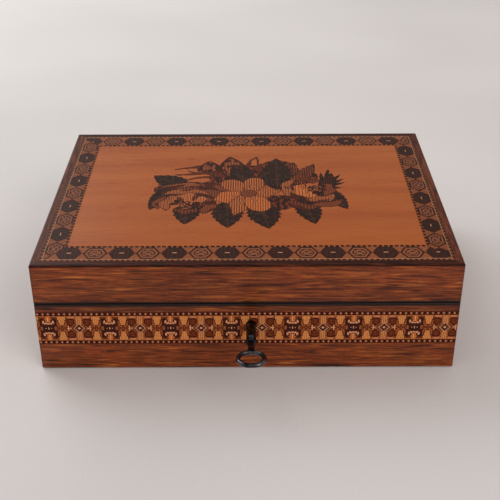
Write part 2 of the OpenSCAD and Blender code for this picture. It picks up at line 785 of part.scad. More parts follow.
// A ribbon tab glued to each end wall and curled over, for lifting the tray out
module tray_ribbons() {
    y = divider_y + divider_t / 2 + back_row_d / 2;
    bend_z = tray_top_z - ribbon_drop - ribbon_bend_r;
    low_z = tray_floor_z + velvet_t + lining_gap;
    color("mediumvioletred") for (m = [0, 1]) mirror([m, 0, 0])
        translate([tray_in_w / 2, y + ribbon_w / 2, 0]) rotate([90, 0, 0]) linear_extrude(ribbon_w) {
            translate([-ribbon_t, low_z]) square([ribbon_t, bend_z - low_z]);
            translate([-ribbon_bend_r, bend_z]) intersection() {
                difference() {
                    circle(ribbon_bend_r);
                    circle(ribbon_bend_r - ribbon_t);
                }
                translate([-ribbon_bend_r, 0]) square([2 * ribbon_bend_r, ribbon_bend_r]);
            }
        }
}

base_board(0);  // base_front_board
base_board(1);  // base_right_board
base_board(2);  // base_back_board
base_board(3);  // base_left_board
base_bottom_board();
underside_baize();
base_veneer(0);  // base_front_veneer
base_veneer(1);  // base_right_veneer
base_veneer(2);  // base_back_veneer
base_veneer(3);  // base_left_veneer
mosaic_band(0);  // front_mosaic_band
mosaic_band(1);  // right_mosaic_band
mosaic_band(2);  // back_mosaic_band
mosaic_band(3);  // left_mosaic_band
tray_bearers();
floor_lining();
lock_plate();
lock_case();
lock_drill_pin();
lock_guide_studs();
lock_spring();
lock_screws();
lock_bolt();
key();
hinge_leaf(-1, -1);  // left_hinge_base_leaf
hinge_leaf(1, -1);  // right_hinge_base_leaf
hinge_pin(-1);  // left_hinge_pin
hinge_pin(1);  // right_hinge_pin
hinge_screws(-1);  // hinge_base_screws
hinge_leaf(-1, 1);  // left_hinge_lid_leaf
hinge_leaf(1, 1);  // right_hinge_lid_leaf
hinge_screws(1);  // hinge_lid_screws
link_plate();
link_screws();
lid_board(0);  // lid_front_board
lid_board(1);  // lid_right_board
lid_board(2);  // lid_back_board
lid_board(3);  // lid_left_board
lid_top_board();
lid_veneer(0);  // lid_front_veneer
lid_veneer(1);  // lid_right_veneer
lid_veneer(2);  // lid_back_veneer
lid_veneer(3);  // lid_left_veneer
top_edging();
mosaic_border(0);  // front_mosaic_border
mosaic_border(1);  // right_mosaic_border
mosaic_border(2);  // back_mosaic_border
mosaic_border(3);  // left_mosaic_border
top_panel();
spray_inlay();
lid_silk_pad();
tray_wall(0);  // tray_front_wall
tray_wall(1);  // tray_right_wall
tray_wall(2);  // tray_back_wall
tray_wall(3);  // tray_left_wall
tray_floor();
tray_dividers();
ring_cushion();
tray_velvet();
tray_ribbons();
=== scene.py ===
# %% [markdown]
# # A veneered jewellery box with end-grain mosaic
# The boards, veneers, hinges, lock and key of this box are already built to size, and arrive here as
# named parts in one shared frame. This notebook gives them their woods, metals and cloths, and makes
# what is too fine or too soft for a drawing of boards: thousands of tiny blocks of coloured wood, a
# flower spray made of them, and the padded linings. Everything is in metres. The origin is the middle
# of the underside, X runs to the right, Y to the hinged back and Z up.

# %% Load the frame
import math
import random
import bmesh
import bpy
from mathutils import Matrix, Vector, noise


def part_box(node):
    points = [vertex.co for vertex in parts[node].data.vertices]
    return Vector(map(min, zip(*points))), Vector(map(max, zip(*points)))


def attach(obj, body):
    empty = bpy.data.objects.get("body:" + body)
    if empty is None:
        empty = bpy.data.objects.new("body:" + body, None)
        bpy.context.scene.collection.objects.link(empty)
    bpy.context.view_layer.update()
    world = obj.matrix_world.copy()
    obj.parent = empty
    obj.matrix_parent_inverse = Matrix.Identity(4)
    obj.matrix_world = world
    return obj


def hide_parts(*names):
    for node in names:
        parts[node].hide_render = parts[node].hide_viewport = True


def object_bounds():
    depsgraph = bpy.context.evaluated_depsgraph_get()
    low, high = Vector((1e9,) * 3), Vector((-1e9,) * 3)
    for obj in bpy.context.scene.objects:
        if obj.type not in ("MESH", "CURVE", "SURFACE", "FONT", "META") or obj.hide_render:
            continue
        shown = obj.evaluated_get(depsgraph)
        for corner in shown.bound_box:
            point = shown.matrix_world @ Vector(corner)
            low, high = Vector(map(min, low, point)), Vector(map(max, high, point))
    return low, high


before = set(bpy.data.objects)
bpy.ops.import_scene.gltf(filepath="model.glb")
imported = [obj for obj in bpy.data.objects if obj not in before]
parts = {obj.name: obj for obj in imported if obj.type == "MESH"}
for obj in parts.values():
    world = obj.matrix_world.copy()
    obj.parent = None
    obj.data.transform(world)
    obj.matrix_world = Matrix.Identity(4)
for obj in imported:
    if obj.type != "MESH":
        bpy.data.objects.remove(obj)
built_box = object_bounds()
mm = 0.001

# %% [markdown]
# ## Where the viewer stands
# Eight corners of the box, read off a picture of it, settle a camera: the slanting edges of a box leave
# only one place from which they all fit. A lens as long as this one flattens the box only a little.

# %% Camera
pitch_down = math.radians(30.505)
tilt = -0.0037
lens_mm = 67.77
camera_place = (1.7 * mm, -529.7 * mm, 339.2 * mm)

camera_data = bpy.data.cameras.new("camera")
camera_data.sensor_width = 36.0
camera_data.lens = lens_mm
camera = bpy.data.objects.new("camera", camera_data)
aim = Matrix.Rotation(math.pi / 2 - pitch_down, 4, "X") @ Matrix.Rotation(tilt, 4, "Z")
camera.matrix_world = Matrix.Translation(camera_place) @ aim
bpy.context.scene.collection.objects.link(camera)
bpy.context.scene.camera = camera
print("camera looks", round(math.degrees(pitch_down), 1), "degrees down")

# %% [markdown]
# ## A helper for colours
# Colours are easiest to name as the eye sees them, from 0 to 255. Light adds up on another scale, the
# linear one, so each colour is turned over to it once, here.

# %% Colours


def seen(red, green, blue):
    """A colour as the eye sees it, 0 to 255, turned into amounts of light."""
    shares = [c / 255 for c in (red, green, blue)]
    return tuple(s / 12.92 if s <= 0.04045 else ((s + 0.055) / 1.055) ** 2.4 for s in shares)


print("a grey that looks half bright sends back", round(seen(128, 128, 128)[0], 2), "of the light")

# %% [markdown]
# ## Finishes as little networks
# A finish is a little network: places on the object go in at one end, pass through noise and ramps, and
# come out as colour, roughness and tiny bumps. `add` puts one box into the network and wires it up, so a
# finish reads like a recipe. The same could be clicked together in the shader editor.

# %% Networks


def new_finish(name):
    """A new material with its node tree and its shader."""
    finish = bpy.data.materials.new(name)
    finish.use_nodes = True
    return finish, finish.node_tree, finish.node_tree.nodes["Principled BSDF"]


def add(tree, kind, wires=None, **settings):
    """A node of that kind; wires are its inputs, each a number, a colour or another node's output."""
    node = tree.nodes.new("ShaderNode" + kind)
    for name, value in settings.items():
        setattr(node, name, value)
    for name, value in (wires or {}).items():
        if isinstance(value, bpy.types.NodeSocket):
            tree.links.new(value, node.inputs[name])
        else:
            node.inputs[name].default_value = value
    return node


def place_on(tree):
    """A place as its own piece sees it, so that a grain rides along when the lid opens."""
    return add(tree, "TexCoord").outputs["Object"]


print("finishes are put together box by box")

# %% [markdown]
# ## Noise, ramps and bumps
# Grain, dirt and weave are all noise, stretched to the size of what they stand for. A ramp turns such a
# value into colours, a spread turns it into another range of numbers, and a bump lets it catch the light.
# Real relief would need millions of faces for the same look.

# %% Noise, ramps and bumps


def stretched_noise(tree, place, cell, detail=2.0, warp=0.0):
    """Noise whose blobs measure cell millimetres along X, Y and Z."""
    grid = add(tree, "Mapping", {"Vector": place, "Scale": tuple(1000 / c for c in cell)})
    wires = {"Vector": grid.outputs["Vector"], "Scale": 1.0, "Detail": detail, "Distortion": warp}
    return add(tree, "TexNoise", wires).outputs["Fac"]


def spread(tree, value, low, high, to_low, to_high):
    """The value's stretch from low to high, laid over another stretch."""
    wires = {"Value": value, "From Min": low, "From Max": high, "To Min": to_low, "To Max": to_high}
    return add(tree, "MapRange", wires).outputs["Result"]


def ramp(tree, value, stops):
    """Colours along the value: pairs of a position and a colour."""
    node = add(tree, "ValToRGB", {"Fac": value})
    marks = node.color_ramp.elements
    while len(marks) < len(stops):
        marks.new(0.5)
    for mark, (position, colour) in zip(marks, stops):
        mark.position = position
        mark.color = (*colour, 1.0)
    return node.outputs["Color"]


def shaded(tree, colour, value):
    """The colour made lighter or darker by a value near 1."""
    return add(tree, "HueSaturation", {"Color": colour, "Value": value}).outputs["Color"]


def bumped(tree, shader, height, depth_mm, strength=1.0):
    """Lets the height catch the light like a relief of that depth."""
    wires = {"Height": height, "Distance": depth_mm * mm, "Strength": strength}
    tree.links.new(add(tree, "Bump", wires).outputs["Normal"], shader.inputs["Normal"])


print("noise, ramps and bumps are ready")

# %% [markdown]
# ## The floor
# The box stands on pale cloth. It is one sheet that runs up behind the box in a wide bend, so that no
# horizon shows. Its weave is only a tone and a bump, because nobody looks at the floor.

# %% Floor


def make_floor():
    """A wide sheet of pale cloth that bends up behind the box."""
    finish, tree, shader = new_finish("pale_cloth")
    place = place_on(tree)
    patches = stretched_noise(tree, place, (260, 180, 260), 1.0)
    weave = stretched_noise(tree, place, (0.9, 0.9, 0.9), 1.0)
    colour = ramp(tree, patches, [(0.3, seen(209, 203, 201)), (0.7, seen(217, 211, 209))])
    colour = shaded(tree, colour, spread(tree, weave, 0.3, 0.7, 0.97, 1.03))
    tree.links.new(colour, shader.inputs["Base Color"])
    shader.inputs["Roughness"].default_value = 0.95
    bumped(tree, shader, weave, 0.15, 0.4)
    half_width, near, bend_at, bend_r, height = 3.0, -1.6, 0.75, 0.7, 2.2
    bend_steps = 12
    side = [(near, 0.0), (bend_at, 0.0)]
    for i in range(1, bend_steps + 1):
        turn = math.pi / 2 * i / bend_steps
        side.append((bend_at + bend_r * math.sin(turn), bend_r * (1 - math.cos(turn))))
    side.append((bend_at + bend_r, height))
    points = [(x, y, z) for y, z in side for x in (-half_width, half_width)]
    faces = [(2 * i, 2 * i + 1, 2 * i + 3, 2 * i + 2) for i in range(len(side) - 1)]
    mesh = bpy.data.meshes.new("floor_cloth")
    mesh.from_pydata(points, [], faces)
    mesh.materials.append(finish)
    mesh.shade_smooth()
    floor = bpy.data.objects.new("floor_cloth", mesh)
    bpy.context.scene.collection.objects.link(floor)
    return floor


floor = make_floor()
print("floor of", len(floor.data.polygons), "faces")

# %% [markdown]
# ## The light
# Soft light comes from a window behind and to the left, from the bright wall under it, and a little
# from the room in front. Large square lamps stand for them, because a large lamp makes a soft shadow.
# The wall is what the polished top mirrors on its left. An even sky lights what the lamps leave dark.

# %% Lamps and sky
box_middle = Vector((0, 0, 0.04))


def lamp(name, place, across, power, colour):
    """A square lamp, as wide as across, that looks at the box."""
    data = bpy.data.lights.new(name, "AREA")
    data.shape = "SQUARE"
    data.size = across
    data.energy = power
    data.color = colour
    light = bpy.data.objects.new(name, data)
    light.location = place
    light.rotation_euler = (box_middle - Vector(place)).to_track_quat("-Z", "Y").to_euler()
    light.visible_camera = False
    bpy.context.scene.collection.objects.link(light)


lamp("window", (-0.75, 0.75, 1.35), 1.0, 7.7, (0.96, 0.99, 1.0))
lamp("bright_wall", (-0.9, 1.0, 0.6), 1.2, 8.0, (0.94, 0.99, 0.98))
lamp("room", (0.9, -1.25, 0.95), 1.1, 11.0, (1.0, 0.95, 0.92))
sky = bpy.data.worlds.new("sky")
sky.use_nodes = True
background = sky.node_tree.nodes["Background"]
background.inputs["Color"].default_value = (1.0, 0.98, 0.965, 1.0)
background.inputs["Strength"].default_value = 0.55
bpy.context.scene.world = sky
bpy.context.scene.view_settings.view_transform = "Standard"
print("three lamps and a sky")

# %% [markdown]
# ## Painted seam shadow, dirt and wear
# The seam where the lid meets the base is painted nearly black: a painted shadow of the gap, with dust
# and old polish in it. The wood just under the seam and towards the ends of the box is darker, and the
# outer edge of the top is rubbed pale. That could be painted by hand. Here a plain distance drives it.

# %% Painted seam shadow, dirt and wear
half_of_box = built_box[1]
seam_z = 45.25 * mm
seam_dark_reach = 8 * mm


def seam_shadow_and_dirt(tree, place):
    """Dark in the seam between lid and base, a painted shadow of the gap with dust in it, and darker just
    under it.
    """
    up = add(tree, "SeparateXYZ", {"Vector": place}).outputs["Z"]
    over_seam = spread(tree, up, seam_z - seam_dark_reach, seam_z + seam_dark_reach, 0.0, 1.0)
    # Nearly black at the seam itself: painted shadow of the gap, with dust in it.
    stops = [(0.14, 1.0), (0.2, 0.76), (0.36, 0.62), (0.42, 0.05), (0.56, 0.05), (0.62, 0.8), (0.8, 1.0)]
    shade = ramp(tree, over_seam, [(where, (amount,) * 3) for where, amount in stops])
    return add(tree, "SeparateXYZ", {"Vector": shade}).outputs["X"]


def near_end(tree, place, axis, reach):
    """0 inside and 1 at the ends of the box along the axis, rising over the last stretch."""
    where = add(tree, "SeparateXYZ", {"Vector": place}).outputs["XYZ"[axis]]
    away = add(tree, "Math", {0: where}, operation="ABSOLUTE").outputs[0]
    return spread(tree, away, half_of_box[axis] - reach, half_of_box[axis], 0.0, 1.0)


print("seam at", seam_z / mm, "mm; the ends lie", [round(v / mm, 1) for v in half_of_box[:2]], "mm out")

# %% [markdown]
# ## Woods with a grain
# Polished rosewood is reddish brown with long dark streaks, fine fibres and open pores like short ink
# strokes, all running along the board. One noise stretched along the grain gives each of the three. The
# finish takes the direction of the grain, because each strip of veneer is laid along its own side.

# %% Wood


def times(tree, a, b):
    """Two values multiplied."""
    return add(tree, "Math", {0: a, 1: b}, operation="MULTIPLY").outputs[0]


def wood(name, tones, along, streak=2.2, pores=0.5, gloss=0.34, coat=0.08, lengths=38.0, wild=2.0,
         contrast=0.28, shine=0.25, seam=False, rubbed=False):
    """A finish for a board: tones from dark to light, and the axis along which the grain runs.

    A streak is streak wide and lengths long, in millimetres, and wanders as much as wild says.
    """
    finish, tree, shader = new_finish(name)
    place = place_on(tree)

    def grain(width, length, detail, warp=0.0):
        cell = [width] * 3
        cell[along] = length
        return stretched_noise(tree, place, cell, detail, warp)

    streaks = grain(streak, lengths, 3.0, wild)
    fibres = grain(0.9, 10.0, 3.0, 0.9)
    strokes = grain(0.22, 3.2, 0.0)
    drift = grain(20.0, 120.0, 1.0)
    steps = len(tones) - 1
    colour = ramp(tree, streaks, [(0.3 + 0.4 * i / steps, tone) for i, tone in enumerate(tones)])
    shade = times(tree, spread(tree, fibres, 0.3, 0.7, 1 - contrast, 1 + contrast),
                  spread(tree, drift, 0.3, 0.7, 1 - contrast / 2, 1 + contrast / 2))
    # Along the seam: a painted shadow of the gap, with dust in it, and darker just under the seam.
    if seam:
        # Darker towards the ends of the box along the grain.
        darker_at_ends = spread(tree, near_end(tree, place, along, 1.6 * mm), 0.0, 1.0, 1.0, 0.6)
        clouds = spread(tree, grain(9.0, 30.0, 3.0, 1.2), 0.35, 0.65, 0.78, 1.16)
        shade = times(tree, times(tree, shade, seam_shadow_and_dirt(tree, place)), times(tree, darker_at_ends, clouds))
    if rubbed:
        patches = spread(tree, stretched_noise(tree, place, (7.0, 7.0, 7.0), 3.0), 0.45, 0.62, 0.0, 1.0)
        outer_edge = near_end(tree, place, 1 - along, 0.8 * mm)
        shade = times(tree, shade, spread(tree, times(tree, patches, outer_edge), 0.0, 1.0, 1.0, 1.9))
    dark_strokes = spread(tree, strokes, 0.66, 0.74, 1.0, 1.0 - pores)
    colour = shaded(tree, colour, times(tree, shade, dark_strokes))
    rough = spread(tree, fibres, 0.3, 0.7, gloss - 0.05, gloss + 0.07)
    tree.links.new(colour, shader.inputs["Base Color"])
    tree.links.new(rough, shader.inputs["Roughness"])
    shader.inputs["Specular IOR Level"].default_value = shine
    shader.inputs["Coat Weight"].default_value = coat
    shader.inputs["Coat Roughness"].default_value = 0.22
    bumped(tree, shader, times(tree, fibres, dark_strokes), 0.05, 0.35)
    return finish


print("a recipe for boards of any tone")

# %% [markdown]
# ## The woods of this box
# Rosewood veneer covers the outside, mahogany makes the walls and the tray, and pale deal the hidden
# boards. Under the mosaics and round the top lies a darker rosewood, dull and rubbed at its outer edge.
# Along the sides of the box it is painted paler, a painted sheen, so it has a list of tones for each
# direction of the grain.

# %% Rosewood, mahogany and deal
ALONG_X = 0
ALONG_Y = 1
rosewood_tones = [seen(54, 20, 7), seen(108, 45, 15), seen(134, 61, 21), seen(164, 92, 37)]
# The second list, for faces along the sides, is paler: a painted sheen.
dark_rosewood_tones_and_side_sheen = ([seen(28, 11, 8), seen(50, 22, 13), seen(80, 36, 20)],
                       [seen(48, 20, 13), seen(84, 42, 27), seen(112, 60, 40)])
mahogany_tones = [seen(96, 52, 30), seen(122, 70, 42), seen(140, 84, 52)]
deal_tones = [seen(176, 132, 84), seen(198, 156, 104), seen(210, 172, 120)]
rosewood, dark_rosewood, mahogany = {}, {}, {}
for axis in (ALONG_X, ALONG_Y):
    letter = "xyz"[axis]
    rosewood[axis] = wood(f"rosewood_{letter}", rosewood_tones, axis, seam=True)
    dark_rosewood[axis] = wood(f"dark_rosewood_{letter}", dark_rosewood_tones_and_side_sheen[axis], axis, coat=0.0,
                               shine=0.06, rubbed=True)
    mahogany[axis] = wood(f"mahogany_{letter}", mahogany_tones, axis, pores=0.3, gloss=0.42,
                          contrast=0.1)
deal = wood("pale_deal", deal_tones, ALONG_X, streak=6.0, pores=0.1, gloss=0.55, coat=0.0,
            lengths=220.0)
print("woods:", rosewood[ALONG_X].name, dark_rosewood[ALONG_X].name, mahogany[ALONG_X].name, deal.name)

# %% [markdown]
# ## Metals
# The hinges and the lock are brass that has dulled in patches, and the key is iron gone nearly black,
# rubbed paler where fingers turn it. Metal has no colour of its own under the gloss, so what tells these
# apart is how rough they are and what they tint.

# %% Metals


def metal(name, dull, bright, roughness):
    """A metal that is dull in some patches and bright in others, with fine level scratches."""
    finish, tree, shader = new_finish(name)
    place = place_on(tree)
    patches = stretched_noise(tree, place, (6.0, 6.0, 6.0), 2.0, 0.6)
    scratches = stretched_noise(tree, place, (2.6, 2.6, 0.12), 1.0)
    tree.links.new(ramp(tree, patches, [(0.35, dull), (0.65, bright)]), shader.inputs["Base Color"])
    rough = add(tree, "Math", {0: spread(tree, patches, 0.35, 0.65, roughness + 0.07, roughness - 0.04),
                               1: spread(tree, scratches, 0.3, 0.7, -0.05, 0.05)}, operation="ADD")
    tree.links.new(rough.outputs[0], shader.inputs["Roughness"])
    shader.inputs["Metallic"].default_value = 1.0
    bumped(tree, shader, scratches, 0.01, 0.4)
    return finish


brass = metal("aged_brass", seen(166, 126, 66), seen(194, 154, 88), 0.36)
iron = metal("black_iron", seen(26, 25, 27), seen(96, 94, 96), 0.25)
blued_steel = metal("blued_steel", seen(44, 52, 78), seen(88, 98, 130), 0.3)
print("metals:", brass.name, iron.name, blued_steel.name)

# %% [markdown]
# ## Dress the built parts
# A part whose shape is right only needs its finish. Each strip, board and wall gets the wood whose grain
# runs along it: X for the front and back ones, Y for those at the sides. The edging round the top is one
# part made of four mitred strips, so each of its faces takes the wood of the side that it is nearest to.

# %% Dress the parts


def dress(finish, *names):
    """Gives the named parts one finish."""
    for name in names:
        mesh = parts[name].data
        mesh.materials.clear()
        mesh.materials.append(finish)


GRAIN_OF = {"front": ALONG_X, "back": ALONG_X, "left": ALONG_Y, "right": ALONG_Y}
for side, axis in GRAIN_OF.items():
    dress(rosewood[axis], f"base_{side}_veneer", f"lid_{side}_veneer")
    dress(mahogany[axis], f"base_{side}_board", f"lid_{side}_board", f"tray_{side}_wall")
    dress(dark_rosewood[axis], f"{side}_mosaic_band", f"{side}_mosaic_border")
dress(dark_rosewood[ALONG_X], "top_edging")
edging = parts["top_edging"].data
# The side faces of the edging take the paler tones, with their painted sheen.
edging.materials.append(dark_rosewood[ALONG_Y])
for face in edging.polygons:
    from_side = half_of_box.x - abs(face.center.x)
    from_front = half_of_box.y - abs(face.center.y)
    face.material_index = int(from_side < from_front)
dress(mahogany[ALONG_X], "tray_dividers", "tray_bearers")
dress(deal, "base_bottom_board", "lid_top_board", "tray_floor")
dress(brass, "lock_plate", "lock_case", "lock_screws", "lock_bolt", "left_hinge_base_leaf",
      "right_hinge_base_leaf", "left_hinge_pin", "right_hinge_pin", "hinge_base_screws",
      "left_hinge_lid_leaf", "right_hinge_lid_leaf", "hinge_lid_screws", "link_plate", "link_screws")
dress(iron, "key", "lock_drill_pin", "lock_guide_studs")
dress(blued_steel, "lock_spring")
print("dressed the boards, veneers, lock and hinges")

# %% [markdown]
# ## The coloured woods of the mosaic
# The mosaic is not painted. Thin sticks of coloured woods are glued into a bundle whose end shows the
# picture, and slices of the bundle are laid as veneer, so each dot is the end of a stick. Here each dot
# is a small square of mesh that carries its wood's colour, a little different from stick to stick.

# %% Coloured woods
WOODS = {
    "shell": seen(236, 165, 122), "holly": seen(222, 148, 88), "honey": seen(206, 118, 58),
    "orange": seen(190, 100, 46), "peach": seen(192, 110, 60), "tan": seen(166, 94, 54),
    "pink": seen(208, 126, 90), "lilac": seen(152, 91, 62), "rust": seen(132, 70, 42),
    "red": seen(134, 54, 28), "bark": seen(86, 38, 22), "olive": seen(98, 58, 26),
    "plum": seen(84, 36, 24), "slate": seen(57, 39, 31), "ink": seen(37, 23, 18),
    "ebony": seen(52, 22, 15), "lime": seen(178, 126, 92),
}


def mosaic_finish():
    """The sticks' colours, with end grain on each and a thin dark glue line round it."""
    finish, tree, shader = new_finish("mosaic")
    stick = add(tree, "Attribute", attribute_name="stick_colour").outputs["Color"]
    across = add(tree, "SeparateXYZ", {"Vector": add(tree, "UVMap", uv_map="stick_end").outputs["UV"]})
    from_edge = []
    for axis in ("X", "Y"):
        off = add(tree, "Math", {0: across.outputs[axis], 1: 0.5}, operation="SUBTRACT")
        from_edge.append(add(tree, "Math", {0: off.outputs[0]}, operation="ABSOLUTE").outputs[0])
    widest = add(tree, "Math", {0: from_edge[0], 1: from_edge[1]}, operation="MAXIMUM").outputs[0]
    glue_line = spread(tree, widest, 0.42, 0.49, 1.0, 0.72)
    end_grain = stretched_noise(tree, place_on(tree), (0.16, 0.16, 0.16), 1.0)
    shade = times(tree, glue_line, spread(tree, end_grain, 0.3, 0.7, 0.93, 1.07))
    tree.links.new(shaded(tree, stick, shade), shader.inputs["Base Color"])
    tree.links.new(spread(tree, end_grain, 0.3, 0.7, 0.28, 0.42), shader.inputs["Roughness"])
    shader.inputs["Specular IOR Level"].default_value = 0.05
    bumped(tree, shader, glue_line, 0.03, 0.5)
    return finish


mosaic = mosaic_finish()
print("mosaic of", len(WOODS), "woods")

# %% [markdown]
# ## Laying sticks
# One function lays every mosaic on the box. It walks over columns and rows, asks which wood comes there,
# and asks where the corners of that square lie. So the motifs can be thought out flat, in whole sticks,
# and the places can bend round a worn corner or stop at a mitre.

# %% Laying sticks
no_area = 1e-9


def lay_sticks(name, columns, rows, wood_at, corner_at, body, tone=1.0):
    """A sheet of squares; wood_at gives a wood's name or None, corner_at the place of a corner."""
    chance = random.Random(name)
    points, faces, colours = [], [], []
    for row in range(rows):
        for column in range(columns):
            wood_name = wood_at(column, row)
            if wood_name is None:
                continue
            square = [corner_at(column + a, row + b) for a, b in ((0, 0), (1, 0), (1, 1), (0, 1))]
            if (square[2] - square[0]).cross(square[3] - square[1]).length < no_area:
                continue
            faces.append(tuple(range(len(points), len(points) + 4)))
            points.extend(square)
            # tone darkens every stick of a sheet: a plain tone for the band, and for the border strips a
            # painted shade as well.
            light = tone * chance.uniform(0.84, 1.16)
            warmth = chance.uniform(0.96, 1.04)
            red, green, blue = WOODS[wood_name]
            colours.extend([red * light * warmth, green * light, blue * light / warmth, 1.0] * 4)
    mesh = bpy.data.meshes.new(name)
    mesh.from_pydata(points, [], faces)
    tints = mesh.color_attributes.new("stick_colour", "FLOAT_COLOR", "CORNER")
    tints.data.foreach_set("color", colours)
    ends = mesh.uv_layers.new(name="stick_end")
    ends.data.foreach_set("uv", [0, 0, 1, 0, 1, 1, 0, 1] * len(faces))
    mesh.materials.append(mosaic)
    piece = bpy.data.objects.new(name, mesh)
    bpy.context.scene.collection.objects.link(piece)
    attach(piece, body)
    print(name, len(faces), "sticks")


print("sticks are laid row by row in", len(WOODS), "woods")

# %% [markdown]
# ## The four sides of a box
# Front, right, back and left are the same thing turned by a quarter each time. Two arrows say it all:
# one that runs along the side and one that points out of it.

# %% Sides
SIDES = ("front", "right", "back", "left")
ALONG = (Vector((1, 0, 0)), Vector((0, 1, 0)), Vector((-1, 0, 0)), Vector((0, -1, 0)))
OUT = (Vector((0, -1, 0)), Vector((1, 0, 0)), Vector((0, 1, 0)), Vector((-1, 0, 0)))


def half_length(side):
    """Half of how far the side runs."""
    return half_of_box[side % 2]


def half_depth(side):
    """How far the side lies from the middle of the box."""
    return half_of_box[1 - side % 2]


print("front and sides run", [round(2 * half_length(side) / mm, 1) for side in (0, 1)], "mm")

# %% [markdown]
# ## The band round the base: moths
# The band repeats three motifs: a dark moth with pale scrolls, a small star between striped bells, and
# a diamond with four leaves. Each mirrors left to right and top to bottom, so a stick's wood depends
# only on how far it lies from the motif's middle, a sticks along and h rows up or down. A picture could
# be laid over the band instead, but rules in whole sticks stay sharp however close one looks. The
# moth's wings are an ellipse, and bars and scrolls of pale wood are laid over them.

# %% Moth


def moth(a, h):
    """The moth: a sticks from its middle line, h rows from its waist."""
    if h == 0 and a in (0, 3) or h == 1 and a == 0:
        return "shell"
    if h <= 2 and a in (7, 8):
        return "lilac"
    if h in (6, 7) and a <= 4 or a in (5, 6) and 7 <= h <= 10:
        return "shell" if (a + h) % 4 else "lilac"
    if h <= 5 and a <= 7:
        return "plum" if (a + h) % 2 or h > 4 else "ink"
    if a <= 2 and h >= 9:
        return "shell" if a == 0 else "orange" if a == 1 else "honey"
    if ((a - 6.6) / 3.6) ** 2 + ((h - 7.4) / 6.2) ** 2 < 1:
        return "ebony" if (a + h) % 3 else "bark"
    if a <= 4:
        return ("orange", "rust", "bark")[(a + h // 2) % 3]
    return "rust" if (a + h) % 3 else "bark"


print("along a moth's waist:", *(moth(a, 0) for a in range(10)))

# %% [markdown]
# ## The band round the base: stars
# Between moth and diamond sits a small star: an X of pale sticks on red. Over and under it stands a
# bell of upright stripes, wider the further it is from the star. A width that grows with the rows draws
# it, and one stick of dark wood beside that width outlines it.

# %% Star


def star(a, h):
    """The star and the striped bells over and under it."""
    if h <= 4 and a <= 5:
        if a == h:
            return "honey" if a != 1 else "ebony"
        return ("red", "bark", "rust")[(a + h) % 3]
    bell = 1.6 + 0.28 * (h - 3)
    if a <= bell:
        return "holly" if a % 2 == 0 else "honey"
    if a < bell + 1.4:
        return "bark"
    return "rust" if (a + h) % 2 else "orange"


print("along a star's waist:", *(star(a, 0) for a in range(6)))

# %% [markdown]
# ## The band round the base: diamonds
# Equal sums of the two distances make a diamond, so a few limits on the sum draw its rings. The leaves
# at its corners are blocks with rounded corners: high powers of the distances stay flat along the sides
# and turn fast at the corners. Every fourth stick the limit is moved out, which frays the rim.

# %% Diamond and leaves


def leaf_block(a, h):
    """One of the diamond's four leaves, a sticks and h rows from its own middle."""
    reach = (a / 5.0) ** 4 + (h / 5.4) ** 4
    if reach > (0.75 if (a + 2 * h) % 4 else 1.3) or a + h < -6:
        return "orange" if (a + 2 * h) % 3 == 0 else "rust"
    if reach > 0.3:
        return "ebony" if (a + h) % 3 else "bark"
    return "red" if a == 0 or (a + h) % 4 == 0 else "bark" if (a - h) % 3 else "olive"


def diamond(a, h):
    """The diamond, the striped blocks over and under it, and the four leaves at its corners."""
    ring = a + 1.1 * h
    if ring <= 1.2:
        return "shell"
    if ring <= 5.3:
        return "lilac" if a == h == 1 or a == 3 and h == 0 else "plum" if (a + h) % 3 else "ink"
    if ring <= 7.4:
        return "shell" if (a + h) % 2 == 0 else "plum"
    if ring <= 8.4 and a > 1:
        return "bark"
    if a <= 3:
        return "holly" if a % 2 == 0 else "tan"
    if a == 12 and h <= 3 or h == 0 and a >= 8:
        return "shell"
    if h <= 1:
        return "tan" if (a + h) % 2 else "bark"
    if h >= 14:
        return "pink" if 6 <= a <= 11 else "tan"
    return leaf_block(a - 9, h - 8)


print("along a diamond's waist:", *(diamond(a, 0) for a in range(14)))

# %% [markdown]
# ## The band round the base: one repeat
# The distance to the nearest moth says which motif has its turn. Over and under the motifs runs a plain
# line, and outside it a row of pale dots on dark wood.

# %% Band pattern
BAND_REPEAT = 68
BAND_ROWS = 43
MOTIF_HALF = 15
MOTH_END = 9
STAR_MIDDLE = 15
STAR_END = 20
DOT_ROW = 19
DOT_STEP = 6


def band_wood(u, v):
    """The wood u sticks from a moth's middle line and v rows from the middle of the band."""
    a = abs((u + BAND_REPEAT // 2) % BAND_REPEAT - BAND_REPEAT // 2)
    h = abs(v)
    if h > MOTIF_HALF + 1:
        in_dot = u % DOT_STEP
        lit = h == DOT_ROW and in_dot < 3 or abs(h - DOT_ROW) == 1 and in_dot == 1
        return "pink" if lit else "ebony" if h < DOT_ROW + 2 else "bark"
    if h > MOTIF_HALF:
        return "honey" if u % 3 else "tan"
    if a <= MOTH_END:
        return moth(a, h)
    if a <= STAR_END:
        return star(abs(a - STAR_MIDDLE), h)
    return diamond(BAND_REPEAT // 2 - a, h)


print("band:", BAND_REPEAT, "sticks a repeat,", BAND_ROWS, "rows")

# %% [markdown]
# ## The keyhole in the band
# In front the band has a keyhole, a round hole over a slot. Cutting it out of the finished sheet would
# leave slivers. Instead, corners of squares that would lie in it are pushed out to its edge, and squares
# that lie wholly in it are left out.

# %% Keyhole
key_x, key_z = 2.2 * mm, 30.8 * mm
hole_r, slot_half, slot_low = 3.1 * mm, 1.1 * mm, 6.1 * mm
slot_top = 0.93 * hole_r
slot_floor = 0.5 * mm


def in_keyhole(x, z):
    """Whether a place, measured from the middle of the round hole, lies in the keyhole."""
    return math.hypot(x, z) < hole_r or (abs(x) < slot_half and -slot_low < z < 0)


